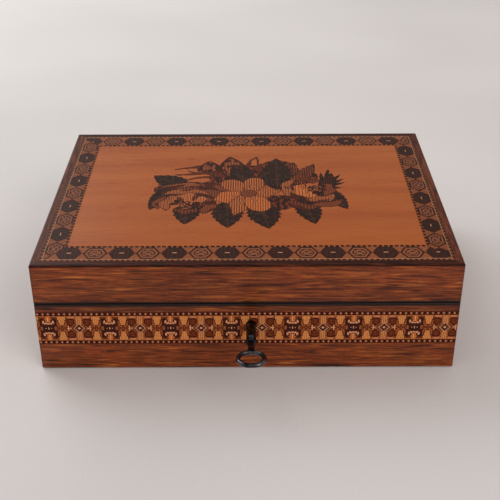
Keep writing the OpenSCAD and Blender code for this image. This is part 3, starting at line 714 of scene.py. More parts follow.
def clear_of_keyhole(x, z):
    """A place in the keyhole moved to the nearest edge of its hole or its slot."""
    away = max(math.hypot(x, z), 0.001 * mm)
    if z > -slot_top and away < hole_r:
        return x * hole_r / away, z * hole_r / away
    if in_keyhole(x, z):
        return (x, -slot_low) if z < slot_floor - slot_low else (math.copysign(slot_half, x), z)
    return x, z


print("keyhole", 2 * hole_r / mm, "mm wide and", round((hole_r + slot_low) / mm, 1), "mm high")

# %% [markdown]
# ## Worn corners
# The veneer's outer corners are worn to a small radius. A stick that would lie past the flat is carried
# round: its distance past the flat becomes an angle. All the sticks lie a hair above the veneer, so that
# the two never share a surface.

# %% Worn corners
above = 0.03 * mm
worn_r = 1 * mm


def round_corner(s, half, out):
    """A place s along a side and out from the middle, carried round if it is past the flat."""
    past_flat = abs(s) - (half - worn_r)
    if past_flat <= 0:
        return s, out
    turn = min(past_flat / worn_r, 1) * math.pi / 4
    reach = worn_r + above
    return math.copysign(half - worn_r + reach * math.sin(turn), s), out - reach * (1 - math.cos(turn))


print("corners worn to", worn_r / mm, "mm")

# %% [markdown]
# ## Laying the bands
# Pattern, keyhole and corners now come together, once for each side. The sticks are half a millimetre
# wide, made to fit the side a whole number of times. A moth stands in the middle of each side, in front
# 9 mm to the left of it.

# %% Lay the bands
stick = 0.5103 * mm
band_low, band_high = (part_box("front_mosaic_band")[i].z for i in (0, 1))
BAND_MIDDLE = (-9.1 * mm, 0.0, 0.0, 0.0)


def lay_band(side):
    """Lays the sticks of the band along one side of the base."""
    half, out = half_length(side), half_depth(side) + above
    columns = round(2 * half / stick)
    middle = BAND_MIDDLE[side]
    row_h = (band_high - band_low) / BAND_ROWS

    def flat(column, row):
        return -half + 2 * half * column / columns, band_low + row * row_h

    def wood_at(column, row):
        s, z = flat(column + 0.5, row + 0.5)
        corners = [flat(column + a, row + b) for a in (0, 1) for b in (0, 1)]
        if side == 0 and all(in_keyhole(x - key_x, z - key_z) for x, z in corners):
            return None
        return band_wood(round((s - middle) / stick), row - BAND_ROWS // 2)

    def corner_at(column, row):
        s, z = flat(column, row)
        if side == 0 and in_keyhole(s - key_x, z - key_z):
            x, up = clear_of_keyhole(s - key_x, z - key_z)
            s, z = key_x + x, key_z + up
        s, depth = round_corner(s, half, out)
        return ALONG[side] * s + OUT[side] * depth + Vector((0, 0, z))

    lay_sticks(f"{SIDES[side]}_band_sticks", columns, BAND_ROWS, wood_at, corner_at, "case",
               0.9)


for side in range(4):
    lay_band(side)

# %% [markdown]
# ## The border round the top
# The border is a chain of two kinds of link by turns: a dark hexagon with a pale mark in its middle, and
# a frame within a frame round a little lattice. The distance along plus a share of the distance across
# gives the slanted sides, so limits on that sum draw them all.

# %% Links of the border
SLANT = 0.62


def hexagon(a, h, row):
    """The dark link, a sticks along from its middle and h rows across, or None outside it."""
    slanted = a + SLANT * h
    if slanted >= 13.6:
        return None
    if slanted > 12.2 or h > 9:
        return "ebony"
    if row == 14 and a <= 2:
        return "shell"
    return "plum" if a % 4 == 3 else "slate" if (a + row) % 3 else "ebony"


def frame_link(b, h, row):
    """The pale link: a bold outline, a pale ring, a thin line and the lattice, or None outside it."""
    slanted = b + SLANT * h
    if slanted >= 12.6:
        return None
    if slanted > 11.0 or h > 8:
        return "ebony"
    if slanted > 8.6 or h > 6:
        return "lilac" if (b + row) % 3 else "tan"
    if slanted > 7.2 or h > 5:
        return "ebony"
    return "ebony" if (b + row) % 6 > 2 and (b - row) % 6 > 2 else "lilac"


print("out from the middle of a hexagon:", *(hexagon(a, 0.5, 14) for a in range(14)))

# %% [markdown]
# ## The border round the top: one repeat
# Two links make a repeat. Outside them run dashes, with a pale line and a plain row at the outer edge and
# an orange row at the inner one. Dark wood joins the links along the middle and follows their outlines.

# %% Border pattern
BORDER_REPEAT = 58
BORDER_ROWS = 28
DASH_STEP = 6


def border_wood(u, row):
    """The wood u sticks from a hexagon's middle, in a row counted from the outer edge."""
    if row == 0:
        return "bark"
    if row <= 2:
        return "ebony" if u % DASH_STEP < 3 else "lilac"
    if row == 3:
        return "lime"
    if row == BORDER_ROWS - 1:
        return "orange"
    if row >= BORDER_ROWS - 4:
        return "ebony" if u % DASH_STEP < 4 else "tan"
    a = abs((u + BORDER_REPEAT // 2) % BORDER_REPEAT - BORDER_REPEAT // 2)
    b = BORDER_REPEAT // 2 - a
    h = abs(row - (BORDER_ROWS - 1) / 2)
    link = hexagon(a, h, row) or frame_link(b, h, row)
    if link:
        return link
    if h < 1 or a + SLANT * h < 14.8 or b + SLANT * h < 13.6:
        return "bark"
    return ("tan", "rust", "lilac")[(a + int(h)) % 3]


print("border:", BORDER_REPEAT, "sticks for two links,", BORDER_ROWS, "rows")

# %% [markdown]
# ## Mitres
# At the corners of the top the strips meet in mitres. Instead of cutting squares with a knife, every
# corner of a square that would lie past the mitre is moved onto it. Neighbours share the same rule, so
# the sheet stays whole, and squares left with no area are dropped. The strips at the sides are narrower,
# of slightly thicker sticks, and darker than the other two by a painted shade.

# %% Lay the borders
top_z = built_box[1].z
edging_w = 4.6 * mm
BORDER_W = (17.6 * mm, 14 * mm, 17.6 * mm, 14 * mm)
BORDER_STICK = (stick, 0.6 * mm, stick, 0.6 * mm)
BORDER_MIDDLE = (-10.9 * mm, -10.5 * mm, -10.0 * mm, 20.0 * mm)
# A tone for each strip; the strips at the sides are lower, a painted shade.
BORDER_TONE_AND_SHADE = (0.8, 0.66, 0.78, 0.68)


def lay_border(side):
    """Lays the sticks of the border along one side of the top."""
    half = half_length(side) - edging_w
    outer = half_depth(side) - edging_w
    width, end_width = BORDER_W[side], BORDER_W[(side + 1) % 4]
    columns = round(2 * half / BORDER_STICK[side])
    row_w = width / BORDER_ROWS

    def wood_at(column, row):
        s = -half + 2 * half * (column + 0.5) / columns
        return border_wood(round((s - BORDER_MIDDLE[side]) / BORDER_STICK[side]), row)

    def corner_at(column, row):
        limit = half - end_width * row / BORDER_ROWS
        s = max(-limit, min(limit, -half + 2 * half * column / columns))
        return ALONG[side] * s + OUT[side] * (outer - row * row_w) + Vector((0, 0, top_z + above))

    lay_sticks(f"{SIDES[side]}_border_sticks", columns, BORDER_ROWS, wood_at, corner_at, "lid",
               BORDER_TONE_AND_SHADE[side])


for side in range(4):
    lay_border(side)

# %% [markdown]
# ## The panel
# The middle of the top is one leaf of a smooth, silky, orange-brown wood. It has no streaks to speak of,
# only a faint ripple and fine fibres, so the wood recipe is used with close tones and hardly any pores.

# %% Panel
satinwood_tones = [seen(151, 74, 30), seen(160, 82, 34), seen(167, 89, 39)]
satinwood = wood("satin_panel", satinwood_tones, ALONG_X, streak=14.0, pores=0.03, gloss=0.3, coat=0.0,
                 lengths=120.0, wild=0.4, contrast=0.03, shine=0.12)
dress(satinwood, "top_panel", "spray_inlay")
print("panel of", satinwood.name)

# %% [markdown]
# ## The flower spray: leaves
# The spray is a posy of the kind that was stitched and inlaid everywhere: one open flower, a rose at
# each side, dark toothed leaves and curling stems. Each leaf runs from a stalk to a tip, in millimetres
# from the panel's middle. Its width follows a lopsided sine, full near the stalk and pointed at the
# tip, and a saw-tooth share of it gives the leaf its teeth. A formula can be asked about any stick, so
# the outline needs no cutting.

# %% Leaves
LEAVES = [
    ("leaf", -36, -16, -37, -43.5, 9), ("leaf", -12, -14, -11.5, -48, 10.5),
    ("leaf", 8, -16, 13, -49, 11), ("leaf", 35, -12, 40.5, -43.5, 8.5),
    ("leaf", 47, 4, 61.5, -25, 7.5), ("leaf", -49, 4, -59.5, -25, 7),
    ("leaf", -38, 6, -60.5, 22, 9.5), ("russet", -44, 4, -60, -10, 6),
    ("leaf", 19, 2, 19.5, 48, 11.5), ("russet", 30, 8, 44.5, 39, 6.5), ("russet", 25, 8, 31, 42, 7),
    ("leaf", -3, 8, -4, 40, 9), ("bud", -8, 18, -11.5, 51, 9), ("bud", -24, 26, -25, 44, 7),
    ("spike", 48, 0, 55, 25, 6), ("spike", 50, 12, 53.5, 31.5, 1.8), ("spike", 48, 10, 48, 26, 1.6),
    ("spike", 52, 10, 60.5, 23, 1.8), ("spike", 52, 8, 62.5, 17, 1.6),
    ("spike", 52, 6, 62.5, 11.5, 1.6), ("spike", 50, 4, 60, 4, 1.8), ("loop", 1, 26, 6.5, 51, 4.4),
    ("stem", -18, 30, -47.5, 31, 3.6), ("stem", -19, 28, -46.5, 23.5, -1.6),
    ("stem", -16, 23, -45, 22.5, 2.2), ("stem", -22, 20, -40, 14.5, 1.6),
    ("stem", -21, 36, -40, 32, 2.4), ("stem", -22, 25, -39, 29, -1.8), ("stem", -2, 30, 2, 45, 1.2),
    ("stem", 9, 28, 9.5, 40, -1.0),
]
TEETH = {"leaf": 0.17, "russet": 0.2, "spike": 0.2}
TOOTH_STEP = 4.3


def in_leaf(x, y, kind, x0, y0, x1, y1, half):
    """How far along and across a leaf, and how wide it is there, or None outside it."""
    run = math.hypot(x1 - x0, y1 - y0)
    along = ((x - x0) * (x1 - x0) + (y - y0) * (y1 - y0)) / run
    across = ((y - y0) * (x1 - x0) - (x - x0) * (y1 - y0)) / run
    if not 0 <= along <= run:
        return None
    if kind == "stem":
        across += half * math.sin(math.pi * along / run)
        wide = 1.7 - 0.9 * along / run
    else:
        wide = half * math.sin(math.pi * (along / run) ** 0.8) ** 0.85
        wide *= 1 - TEETH.get(kind, 0) * (1 - (along / TOOTH_STEP) % 1)
    return (along, abs(across), wide) if abs(across) <= wide else None


print(len(LEAVES), "leaves, buds and stems")

# %% [markdown]
# ## The flower spray: the woods of a leaf
# Leaves in such mosaics are nearly black, with a rim, a midrib and side veins of other woods. Buds let
# some light through, stems are of one wood, and a loop of stem is open inside. How far a stick lies from
# the rim decides most of it, and the column that it stands in makes the stripes.

# %% Woods of a leaf
VEIN_STEP = 6.4


def leaf_wood(kind, along, across, wide, column):
    """The wood of a leaf, bud or stem at a place in it, or None where it is open."""
    from_rim = wide - across
    if kind == "stem":
        return "bark"
    if kind == "loop":
        return "bark" if from_rim < 1.5 else None
    if kind == "spike":
        return "bark" if column % 3 == 0 and from_rim > 1 else "ink"
    if kind == "bud":
        if from_rim < 1.8:
            return "ebony"
        blot = noise.noise(Vector((along / 5, column / 4, 7)))
        return "ebony" if blot > 0.1 else ("rust", "bark", "tan", "bark")[column % 4]
    if from_rim < 0.8:
        return "ebony"
    if across < 0.4 or (along + 40 - 0.9 * across) % VEIN_STEP < 0.6:
        return "bark" if column % 2 else "slate"
    if kind == "russet":
        return ("bark", "ebony", "rust")[column % 3]
    fleck = noise.noise(Vector((along / 3, across / 2, column / 9)))
    return "slate" if fleck > 0.2 else "ink"


print("half a millimetre from its rim a leaf is", leaf_wood("leaf", 10, 5, 5.5, 0))

# %% [markdown]
# ## The flower spray: the open flower
# The open flower has six petals round a dark heart. Some are blunt and some pointed: a lopsided sine
# gives the fullness, and a straight taper cuts it to a point. Stripes of woods, column by column, stand
# for shading, as they do in such mosaics.

# %% Open flower
HEART = (1.0, -3.6)
PETALS = [
    (6.5, 18.8, 7.4, 9), (21.5, -1, 7.2, 2.2), (10.5, -27.5, 8.2, 7), (-8.5, -33.5, 8.4, 2.0),
    (-21, -13, 8.6, 3.0), (-15, 15, 7.6, 6),
]


def petal_wood(x, y, column):
    """The open flower's wood at a place, or None beside it."""
    from_heart = math.hypot((x - HEART[0]) / 1.1, y - HEART[1])
    if from_heart < 5:
        return ("plum", "rust")[column % 2] if from_heart < 4.2 else "bark"
    for number, (tip_x, tip_y, half, point) in enumerate(PETALS):
        run_x, run_y = tip_x - HEART[0], tip_y - HEART[1]
        run = math.hypot(run_x, run_y)
        share = ((x - HEART[0]) * run_x + (y - HEART[1]) * run_y) / run ** 2
        if not 0 < share < 1:
            continue
        across = ((y - HEART[1]) * run_x - (x - HEART[0]) * run_y) / run
        wide = half * min(math.sin(math.pi * share ** 1.3) ** 0.5, point * (1 - share))
        if abs(across) > wide:
            continue
        if wide - abs(across) < 0.6 or share > 0.97:
            return "bark"
        if share < 0.5 and abs(across) < 2.4 * share + 0.5:
            return "rust" if column % 2 else "tan"
        bright = ("orange", "peach", "bark")
        dull = ("peach", "rust", "bark")
        return (bright if number in (2, 4) else dull)[(column + number) % 3]
    return None


print(len(PETALS), "petals round a heart at", HEART)

# %% [markdown]
# ## The flower spray: roses
# A rose is a dark heart in rings of crescents, each a stretch of a ring that thins out to both ends. A
# slow ripple in the distance makes the rings uneven, so they look like petals and not like a target.
# The list runs from the inner petals to the outer ones, and the earlier ones hide the later ones.

# %% Roses
ROSES = [
    ((-37, -19.5), 4.6, [
        (10.6, 12, 78, 60, "rust", "peach"), (13.5, 8, 160, 50, "rust", "tan"),
        (14, 9, -2, 48, "bark", "rust"), (8, 6, 268, 66, "rust", "bark"),
        (20, 8, 92, 46, "rust", "tan"), (18.5, 6, 166, 30, "bark", "rust"),
        (23, 10, 38, 30, "ebony", "rust"), (28, 7, 104, 32, "bark", "tan"),
        (30, 9, 58, 20, "bark", "rust"),
    ]),
    ((43, 2.5), 4.8, [
        (9.4, 10, 206, 74, "orange", "peach"), (11, 6, 108, 46, "rust", "bark"),
        (9.5, 7, 352, 60, "bark", "rust"), (14.5, 8, 282, 48, "rust", "tan"),
        (18.5, 7, 172, 44, "rust", "tan"), (25, 8, 246, 26, "rust", "bark"),
        (22, 7, 288, 30, "bark", "rust"), (17.5, 6, 218, 30, "bark", "ebony"),
        (19, 7, 128, 28, "rust", "bark"),
    ]),
]


def rose_wood(x, y, column):
    """A rose's wood at a place, or None beside it. The first crescent that covers a place gives it."""
    for (heart_x, heart_y), heart_r, crescents in ROSES:
        away = math.hypot(x - heart_x, y - heart_y)
        if away < heart_r:
            return "tan" if noise.noise(Vector((x / 1.4, y / 1.4, 3))) > 0.18 else "ebony"
        turn = math.degrees(math.atan2(y - heart_y, x - heart_x))
        away += 0.8 * math.sin(math.radians(turn * 8 + heart_x))
        fold = noise.noise(Vector((turn / 26, away / 5, 5)))
        for ring, thick, middle, half_span, first, second in crescents:
            off = abs((turn - middle + 180) % 360 - 180) / half_span
            if off >= 1:
                continue
            from_rim = thick / 2 * math.cos(math.pi / 2 * off ** 1.6) - abs(away - ring)
            if from_rim > 0:
                if from_rim < 0.6:
                    return "ebony"
                if fold > 0.16 and column % 2:
                    return "bark" if fold < 0.3 else "ebony"
                return (first, second, "bark", second)[(column + int(ring)) % 4]
    return None


print(len(ROSES), "roses of", [len(rose[2]) for rose in ROSES], "petals")

# %% [markdown]
# ## The flower spray: front to back
# The open flower lies over the roses and the roses over the leaves, and behind them all round patches of
# dark wood fill the gaps. Asking them in that order, and taking the first wood that is found, is enough
# to lay one over another.

# %% Whole spray
BEHIND = [
    (-3, 24, 14), (10, 18, 12), (-15, 20, 10), (24, 12, 12), (37, 20, 9), (-20, 4, 11), (-30, -14, 11),
    (-46, -10, 9), (-27, 31, 6), (20, -16, 10), (36, -14, 12), (47, -4, 10), (0, -14, 12),
    (-53, 2, 6), (-34, 5, 8), (20, 32, 12.5), (5, 30, 7),
]


def spray_wood(x, y, column):
    """The wood of the spray at a place in millimetres from the panel's middle, or None."""
    found = petal_wood(x, y, column) or rose_wood(x, y, column)
    if found:
        return found
    for kind, *leaf in LEAVES:
        where = in_leaf(x, y, kind, *leaf)
        found = where and leaf_wood(kind, *where, column)
        if found:
            return found
    if any(math.hypot(x - centre_x, y - centre_y) < reach for centre_x, centre_y, reach in BEHIND):
        blot = noise.noise(Vector((x / 2, y / 5, 0)))
        if blot < -0.25 and column % 2:
            return "rust"
        return "bark" if blot < 0 else "ink" if blot > 0.2 else "ebony"
    return None


print(len(BEHIND), "dark patches behind the flowers")

# %% [markdown]
# ## Laying the spray
# The spray uses the same sticks as the border. A place without a wood gets no stick, so the outline
# comes out in small steps, like the real one, and the panel shows round it.

# %% Lay the spray
SPRAY_LOW = (-64.0, -52.0)
SPRAY_HIGH = (66.0, 54.0)
SPRAY_STICK = (0.5103, 0.6)


def lay_spray():
    """Lays the spray in the middle of the panel."""
    columns = round((SPRAY_HIGH[0] - SPRAY_LOW[0]) / SPRAY_STICK[0])
    rows = round((SPRAY_HIGH[1] - SPRAY_LOW[1]) / SPRAY_STICK[1])

    def flat(column, row):
        return SPRAY_LOW[0] + column * SPRAY_STICK[0], SPRAY_LOW[1] + row * SPRAY_STICK[1]

    def wood_at(column, row):
        return spray_wood(*flat(column + 0.5, row + 0.5), column)

    def corner_at(column, row):
        x, y = flat(column, row)
        return Vector((x * mm, y * mm, top_z + above))

    lay_sticks("spray_sticks", columns, rows, wood_at, corner_at, "lid")


lay_spray()

# %% [markdown]
# ## Cloths
# Velvet is a forest of short threads on end. Looked at straight on it is deep and dark, and at a slant
# its tips catch the light, which is what sheen stands for. Silk satin has long bright threads on top,
# so its gloss is broad and soft. Baize is felted wool, dull all over.

# %% Cloth finishes


def cloth(name, dark, light, weave_mm, roughness, sheen, sheen_colour, gloss=0.3, bump_mm=0.05):
    """A cloth: two tones in soft patches, a weave of that size, and a pale bloom at a slant."""
    finish, tree, shader = new_finish(name)
    place = place_on(tree)
    patches = stretched_noise(tree, place, (17.0, 12.0, 17.0), 4.0, 0.8)
    weave = stretched_noise(tree, place, weave_mm, 1.0)
    colour = ramp(tree, patches, [(0.35, dark), (0.65, light)])
    colour = shaded(tree, colour, spread(tree, weave, 0.3, 0.7, 0.86, 1.14))
    rough = spread(tree, weave, 0.3, 0.7, roughness - 0.05, roughness + 0.05)
    tree.links.new(colour, shader.inputs["Base Color"])
    tree.links.new(rough, shader.inputs["Roughness"])
    shader.inputs["Specular IOR Level"].default_value = gloss
    shader.inputs["Sheen Weight"].default_value = sheen
    shader.inputs["Sheen Roughness"].default_value = 0.4
    shader.inputs["Sheen Tint"].default_value = (*sheen_colour, 1.0)
    bumped(tree, shader, weave, bump_mm, 0.5)
    return finish


velvet = cloth("crimson_velvet", seen(100, 17, 29), seen(122, 23, 37), (0.5, 0.5, 0.5), 0.85, 0.7,
               seen(214, 120, 128))
silk = cloth("silk_satin", seen(138, 34, 50), seen(162, 48, 64), (2.4, 0.22, 0.22), 0.36, 0.25,
             seen(240, 190, 196), gloss=0.6, bump_mm=0.02)
ribbon = cloth("silk_ribbon", seen(146, 40, 58), seen(166, 54, 70), (0.3, 0.3, 2.0), 0.34, 0.25,
               seen(240, 190, 196), gloss=0.6, bump_mm=0.02)
baize = cloth("green_baize", seen(32, 58, 40), seen(46, 76, 52), (0.8, 0.8, 0.8), 0.95, 0.4,
              seen(150, 180, 150))
dress(velvet, "ring_cushion", "tray_velvet", "floor_lining")
dress(silk, "lid_silk_pad")
dress(ribbon, "tray_ribbons")
dress(baize, "underside_baize")
print("cloths:", velvet.name, silk.name, ribbon.name, baize.name)

# %% [markdown]
# ## Sheets of points
# Every lining starts as a sheet: rows and columns of points, like a net, with a four-sided face between
# each four. A net of even squares bends and swells evenly in all directions.

# %% Sheets


def sheet_mesh(name, grid):
    """A mesh from rows of points, each row a list of (x, y, z)."""
    rows, columns = len(grid), len(grid[0])
    faces = [(r * columns + c, r * columns + c + 1, (r + 1) * columns + c + 1, (r + 1) * columns + c)
             for r in range(rows - 1) for c in range(columns - 1)]
    mesh = bpy.data.meshes.new(name)
    mesh.from_pydata([p for row in grid for p in row], [], faces)
    piece = bpy.data.objects.new(name, mesh)
    bpy.context.scene.collection.objects.link(piece)
    return piece


print("a sheet of 3 by 4 points has", (3 - 1) * (4 - 1), "faces")

# %% [markdown]
# ## Stuffing
# Wadding swells a cloth between its stitches, and such a swell looks stiff when it is modelled by hand.
# `swollen` lets the cloth solver blow the sheet up from behind, while its pinned points stay where the
# stitches hold them. Only the shape is kept. `fit_height` then brings the fullest point to the height
# that the piece is built to.

# %% Stuffing


def swollen(piece, pinned, pressure, cap, slack):
    """Runs the cloth solver on the sheet and keeps the shape. No point moves further than cap."""
    mesh = piece.data
    before = [v.co.copy() for v in mesh.vertices]
    held = piece.vertex_groups.new(name="stitches")
    held.add(pinned, 1.0, "ADD")
    solver = piece.modifiers.new("stuffing", "CLOTH")
    solver.settings.vertex_group_mass = "stitches"
    solver.settings.effector_weights.gravity = 0.0
    solver.settings.use_pressure = True
    solver.settings.uniform_pressure_force = pressure
    solver.settings.shrink_min = -slack
    solver.settings.quality = 6
    solver.settings.mass = 0.1
    solver.collision_settings.use_collision = False
    scene = bpy.context.scene
    frames = 20
    for number in range(1, frames + 1):
        scene.frame_set(number)
    cooked = piece.evaluated_get(bpy.context.evaluated_depsgraph_get())
    after = [v.co.copy() for v in cooked.data.vertices]
    scene.frame_set(1)
    piece.modifiers.remove(solver)
    piece.vertex_groups.remove(held)
    furthest = 0.0
    for vertex, old, new in zip(mesh.vertices, before, after):
        move = new - old
        furthest = max(furthest, move.length)
        if move.length > cap:
            move *= cap / move.length
        vertex.co = old + move
    return furthest


def fit_height(piece, back_z, height):
    """Scales the sheet's distances from its back so that the fullest is the height."""
    reach = max(abs(v.co.z - back_z) for v in piece.data.vertices)
    for vertex in piece.data.vertices:
        vertex.co.z = back_z + (vertex.co.z - back_z) * height / reach


print("helpers for stuffed pieces are ready")

# %% [markdown]
# ## Backs and finish
# A lining lies with a flat back on its card or board. Its rim is drawn down to that back, and one face
# closes it, so the piece is solid cloth without an open side. `settle` gives it its cloth and the body
# that it rides on.

# %% Backs


def close_behind(piece, back_z):
    """Turns the sheet's rim down to the back, and closes the back."""
    whole = bmesh.new()
    whole.from_mesh(piece.data)
    rim = [e for e in whole.edges if e.is_boundary]
    pulled = bmesh.ops.extrude_edge_only(whole, edges=rim)["geom"]
    for item in pulled:
        if isinstance(item, bmesh.types.BMVert):
            item.co.z = back_z
    new_rim = [e for e in whole.edges if e.is_boundary]
    bmesh.ops.contextual_create(whole, geom=new_rim)
    bmesh.ops.recalc_face_normals(whole, faces=whole.faces)
    whole.to_mesh(piece.data)
    whole.free()


def settle(piece, finish, slot, body, *stands_for):
    """Gives a finished piece its cloth, its body and the parts that it stands for."""
    piece.data.materials.append(finish)
    piece.data.shade_smooth()
    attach(piece, body)
    if stands_for:
        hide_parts(*stands_for)


print("helpers for closed backs are ready")

# %% [markdown]
# ## The silk pad in the lid
# Silk is laid over wadding on a card and drawn down with buttons, two rows of four. Between the buttons
# it swells, and because there is a little more silk than card it folds softly towards each button. The
# sheet starts near that shape: high between the buttons, a little lower along the folds and lowest at
# the buttons. The solver only has to add the swell.

# %% Wadding
pad_low, pad_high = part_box("lid_silk_pad")
pad_half_x, pad_half_y = pad_high.x, pad_high.y
pad_back = pad_high.z
pad_height = pad_high.z - pad_low.z
TUFTS = [(x * mm, y * mm) for y in (-40.35, 40.35) for x in (-66.42, -22.14, 22.14, 66.42)]
fold_width = 3.5 * mm
dimple_width = 6 * mm


def near_tuft(x, y):
    """How far a place is from the nearest button."""
    return min(math.hypot(x - tuft_x, y - tuft_y) for tuft_x, tuft_y in TUFTS)


def near_fold(x, y):
    """How far a place is from the folds, which run through the buttons along and across the pad."""
    return min(min(abs(x - tuft_x), abs(y - tuft_y)) for tuft_x, tuft_y in TUFTS)


def pad_start(x, y):
    """The height of the wadding before it swells, as a share of the full one."""
    rim = (1 - abs(x / pad_half_x) ** 10) * (1 - abs(y / pad_half_y) ** 10)
    fold = 0.13 * math.exp(-near_fold(x, y) / fold_width)
    dimple = 0.32 * math.exp(-(near_tuft(x, y) / dimple_width) ** 2)
    return 0.14 + 0.68 * max(rim, 0.0) ** 0.5 - fold - dimple


print("wadding:", round(pad_start(0, 0), 2), "of its height in the middle,",
      round(pad_start(*TUFTS[0]), 2), "at a button")

# %% [markdown]
# ## Swelling the silk
# The rim and the buttons are pinned, and the solver does the rest. The sides are drawn in a little
# between the corners, as a taut cloth does. The pad faces down from the lid, so each row of points is
# laid from right to left, which turns the faces over.

# %% Silk pad
stitch_r = 2 * mm
drawn_in = 1.6 * mm


def make_silk_pad():
    """The silk on its wadding, swollen between the buttons."""
    columns, rows = 90, 66
    grid, pins = [], []
    for r in range(rows + 1):
        line = []
        for c in range(columns + 1):
            x = pad_half_x * (2 * c / columns - 1)
            y = pad_half_y * (2 * r / rows - 1)
            if r in (0, rows) or c in (0, columns) or near_tuft(x, y) < stitch_r:
                pins.append(r * (columns + 1) + columns - c)
            in_x = drawn_in * (1 - (y / pad_half_y) ** 2) * abs(x / pad_half_x) ** 6
            in_y = drawn_in * (1 - (x / pad_half_x) ** 2) * abs(y / pad_half_y) ** 6
            height = pad_height * pad_start(x, y)
            line.append((x - math.copysign(in_x, x), y - math.copysign(in_y, y), pad_back - height))
        grid.append(line[::-1])
    pad = sheet_mesh("tufted_silk_pad", grid)
    moved = swollen(pad, pins, pressure=0.9, cap=3 * mm, slack=0.025)
    fit_height(pad, pad_back, pad_height)
    close_behind(pad, pad_back)
    settle(pad, silk, "silk", "lid", "lid_silk_pad")
    print("silk pad swelled by", round(moved / mm, 2), "mm,", len(pad.data.vertices), "points")
    return pad


silk_pad = make_silk_pad()

# %% [markdown]
# ## Covered buttons
# Each button is a small dome with a turned-under rim, covered in the same silk. A row of radii and
# heights, from the middle to the rim, is turned round the button's axis, as on a lathe. Its place is
# measured from the swollen silk, so that it sits a little sunk in its dimple.

# %% Buttons
BUTTON_SIDE = [(0.0, 1.5), (0.9, 1.42), (1.7, 1.15), (2.3, 0.7), (2.6, 0.1), (2.5, -0.4), (2.0, -0.7)]
button_reach = 2.8 * mm
button_sunk = 0.3 * mm


def make_button(number, x, y):
    """A covered button that hangs upside down under the silk at that place."""
    ring = 24
    under = [v.co.z for v in silk_pad.data.vertices
             if math.hypot(v.co.x - x, v.co.y - y) < button_reach]
    base_z = min(under) + button_sunk
    points = [(x, y, base_z - BUTTON_SIDE[0][1] * mm)]
    for reach, height in BUTTON_SIDE[1:]:
        for i in range(ring):
            turn = 2 * math.pi * i / ring
            across, deep = reach * mm * math.cos(turn), reach * mm * math.sin(turn)
            points.append((x + across, y + deep, base_z - height * mm))
    faces = [(0, 1 + (i + 1) % ring, 1 + i) for i in range(ring)]
    rings = len(BUTTON_SIDE) - 1
    for k in range(rings - 1):
        inner, outer = 1 + k * ring, 1 + (k + 1) * ring
        for i in range(ring):
            j = (i + 1) % ring
            faces.append((inner + i, inner + j, outer + j, outer + i))
    faces.append(tuple(1 + (rings - 1) * ring + i for i in range(ring)))
    mesh = bpy.data.meshes.new(f"pad_button_{number}")
    mesh.from_pydata(points, [], faces)
    button = bpy.data.objects.new(f"pad_button_{number}", mesh)
    bpy.context.scene.collection.objects.link(button)
    settle(button, silk, "silk", "lid")


for number, (tuft_x, tuft_y) in enumerate(TUFTS, 1):
    make_button(number, tuft_x, tuft_y)
print(len(TUFTS), "buttons")

# %% [markdown]
# ## The ring cushion
# Rings are held between rolls of wadding under one piece of velvet, which is tucked down between each
# two. The sheet follows the rolls round, pinned where it is tucked in and along its rim. The solver
# then fills the rolls, and because they press on each other they end up a little flat at their sides.

# %% Ring cushion
cushion_low, cushion_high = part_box("ring_cushion")
ROLLS = 6
roll_r = 6.6 * mm
roll_z = 30.4 * mm
roll_pitch = 14.52 * mm
first_roll_y = -70.5 * mm
tuck_z = cushion_low.z + 0.8 * mm


def make_ring_cushion():
    """Velvet tucked down between the rolls, thin at their ends and full in the middle."""
    columns = 44
    half = cushion_high.x
    turns = [math.radians(a) for a in range(202, -24, -16)]
    grid, pins = [], []
    for roll in range(ROLLS):
        middle_y = first_roll_y + roll * roll_pitch
        for k, turn in enumerate(turns):
            line = []
            for c in range(columns + 1):
                along = math.sin(math.pi / 2 * (2 * c / columns - 1))
                full = max(1 - abs(along) ** 26, 0.0) ** 0.5
                reach = roll_r * (0.3 + 0.66 * full)
                z = max(roll_z * full + (1 - full) * (tuck_z + 1 * mm) + reach * math.sin(turn), tuck_z)
                line.append((along * half, middle_y + reach * math.cos(turn), z))
            if k in (0, len(turns) - 1):
                pins.extend(len(grid) * (columns + 1) + c for c in range(columns + 1))
            pins.extend(len(grid) * (columns + 1) + c for c in (0, columns))
            grid.append(line)
    cushion = sheet_mesh("velvet_ring_cushion", [line[::-1] for line in grid])
    moved = swollen(cushion, sorted(set(pins)), pressure=5.0, cap=1.2 * mm, slack=0.04)
    for vertex in cushion.data.vertices:
        vertex.co.y = max(cushion_low.y, min(cushion_high.y, vertex.co.y))
    fit_height(cushion, cushion_low.z, cushion_high.z - cushion_low.z)
    close_behind(cushion, cushion_low.z)
    settle(cushion, velvet, "velvet", "tray", "ring_cushion")
    print("ring cushion swelled by", round(moved / mm, 2), "mm,", len(cushion.data.vertices), "points")


make_ring_cushion()

# %% [markdown]
# ## Linings that lie flat
# The velvet in the compartments, on the floor of the box and the baize under it are glued down flat.
# Glue never holds quite evenly, so each rises and falls by a tenth of a millimetre, and its cut edge is
# rounded over. A solver would have nothing to do here, so noise sets the heights.

# %% Flat linings
lining_step = 3 * mm
patch = 11 * mm
most_dip = 0.18
rim_dip = 0.55


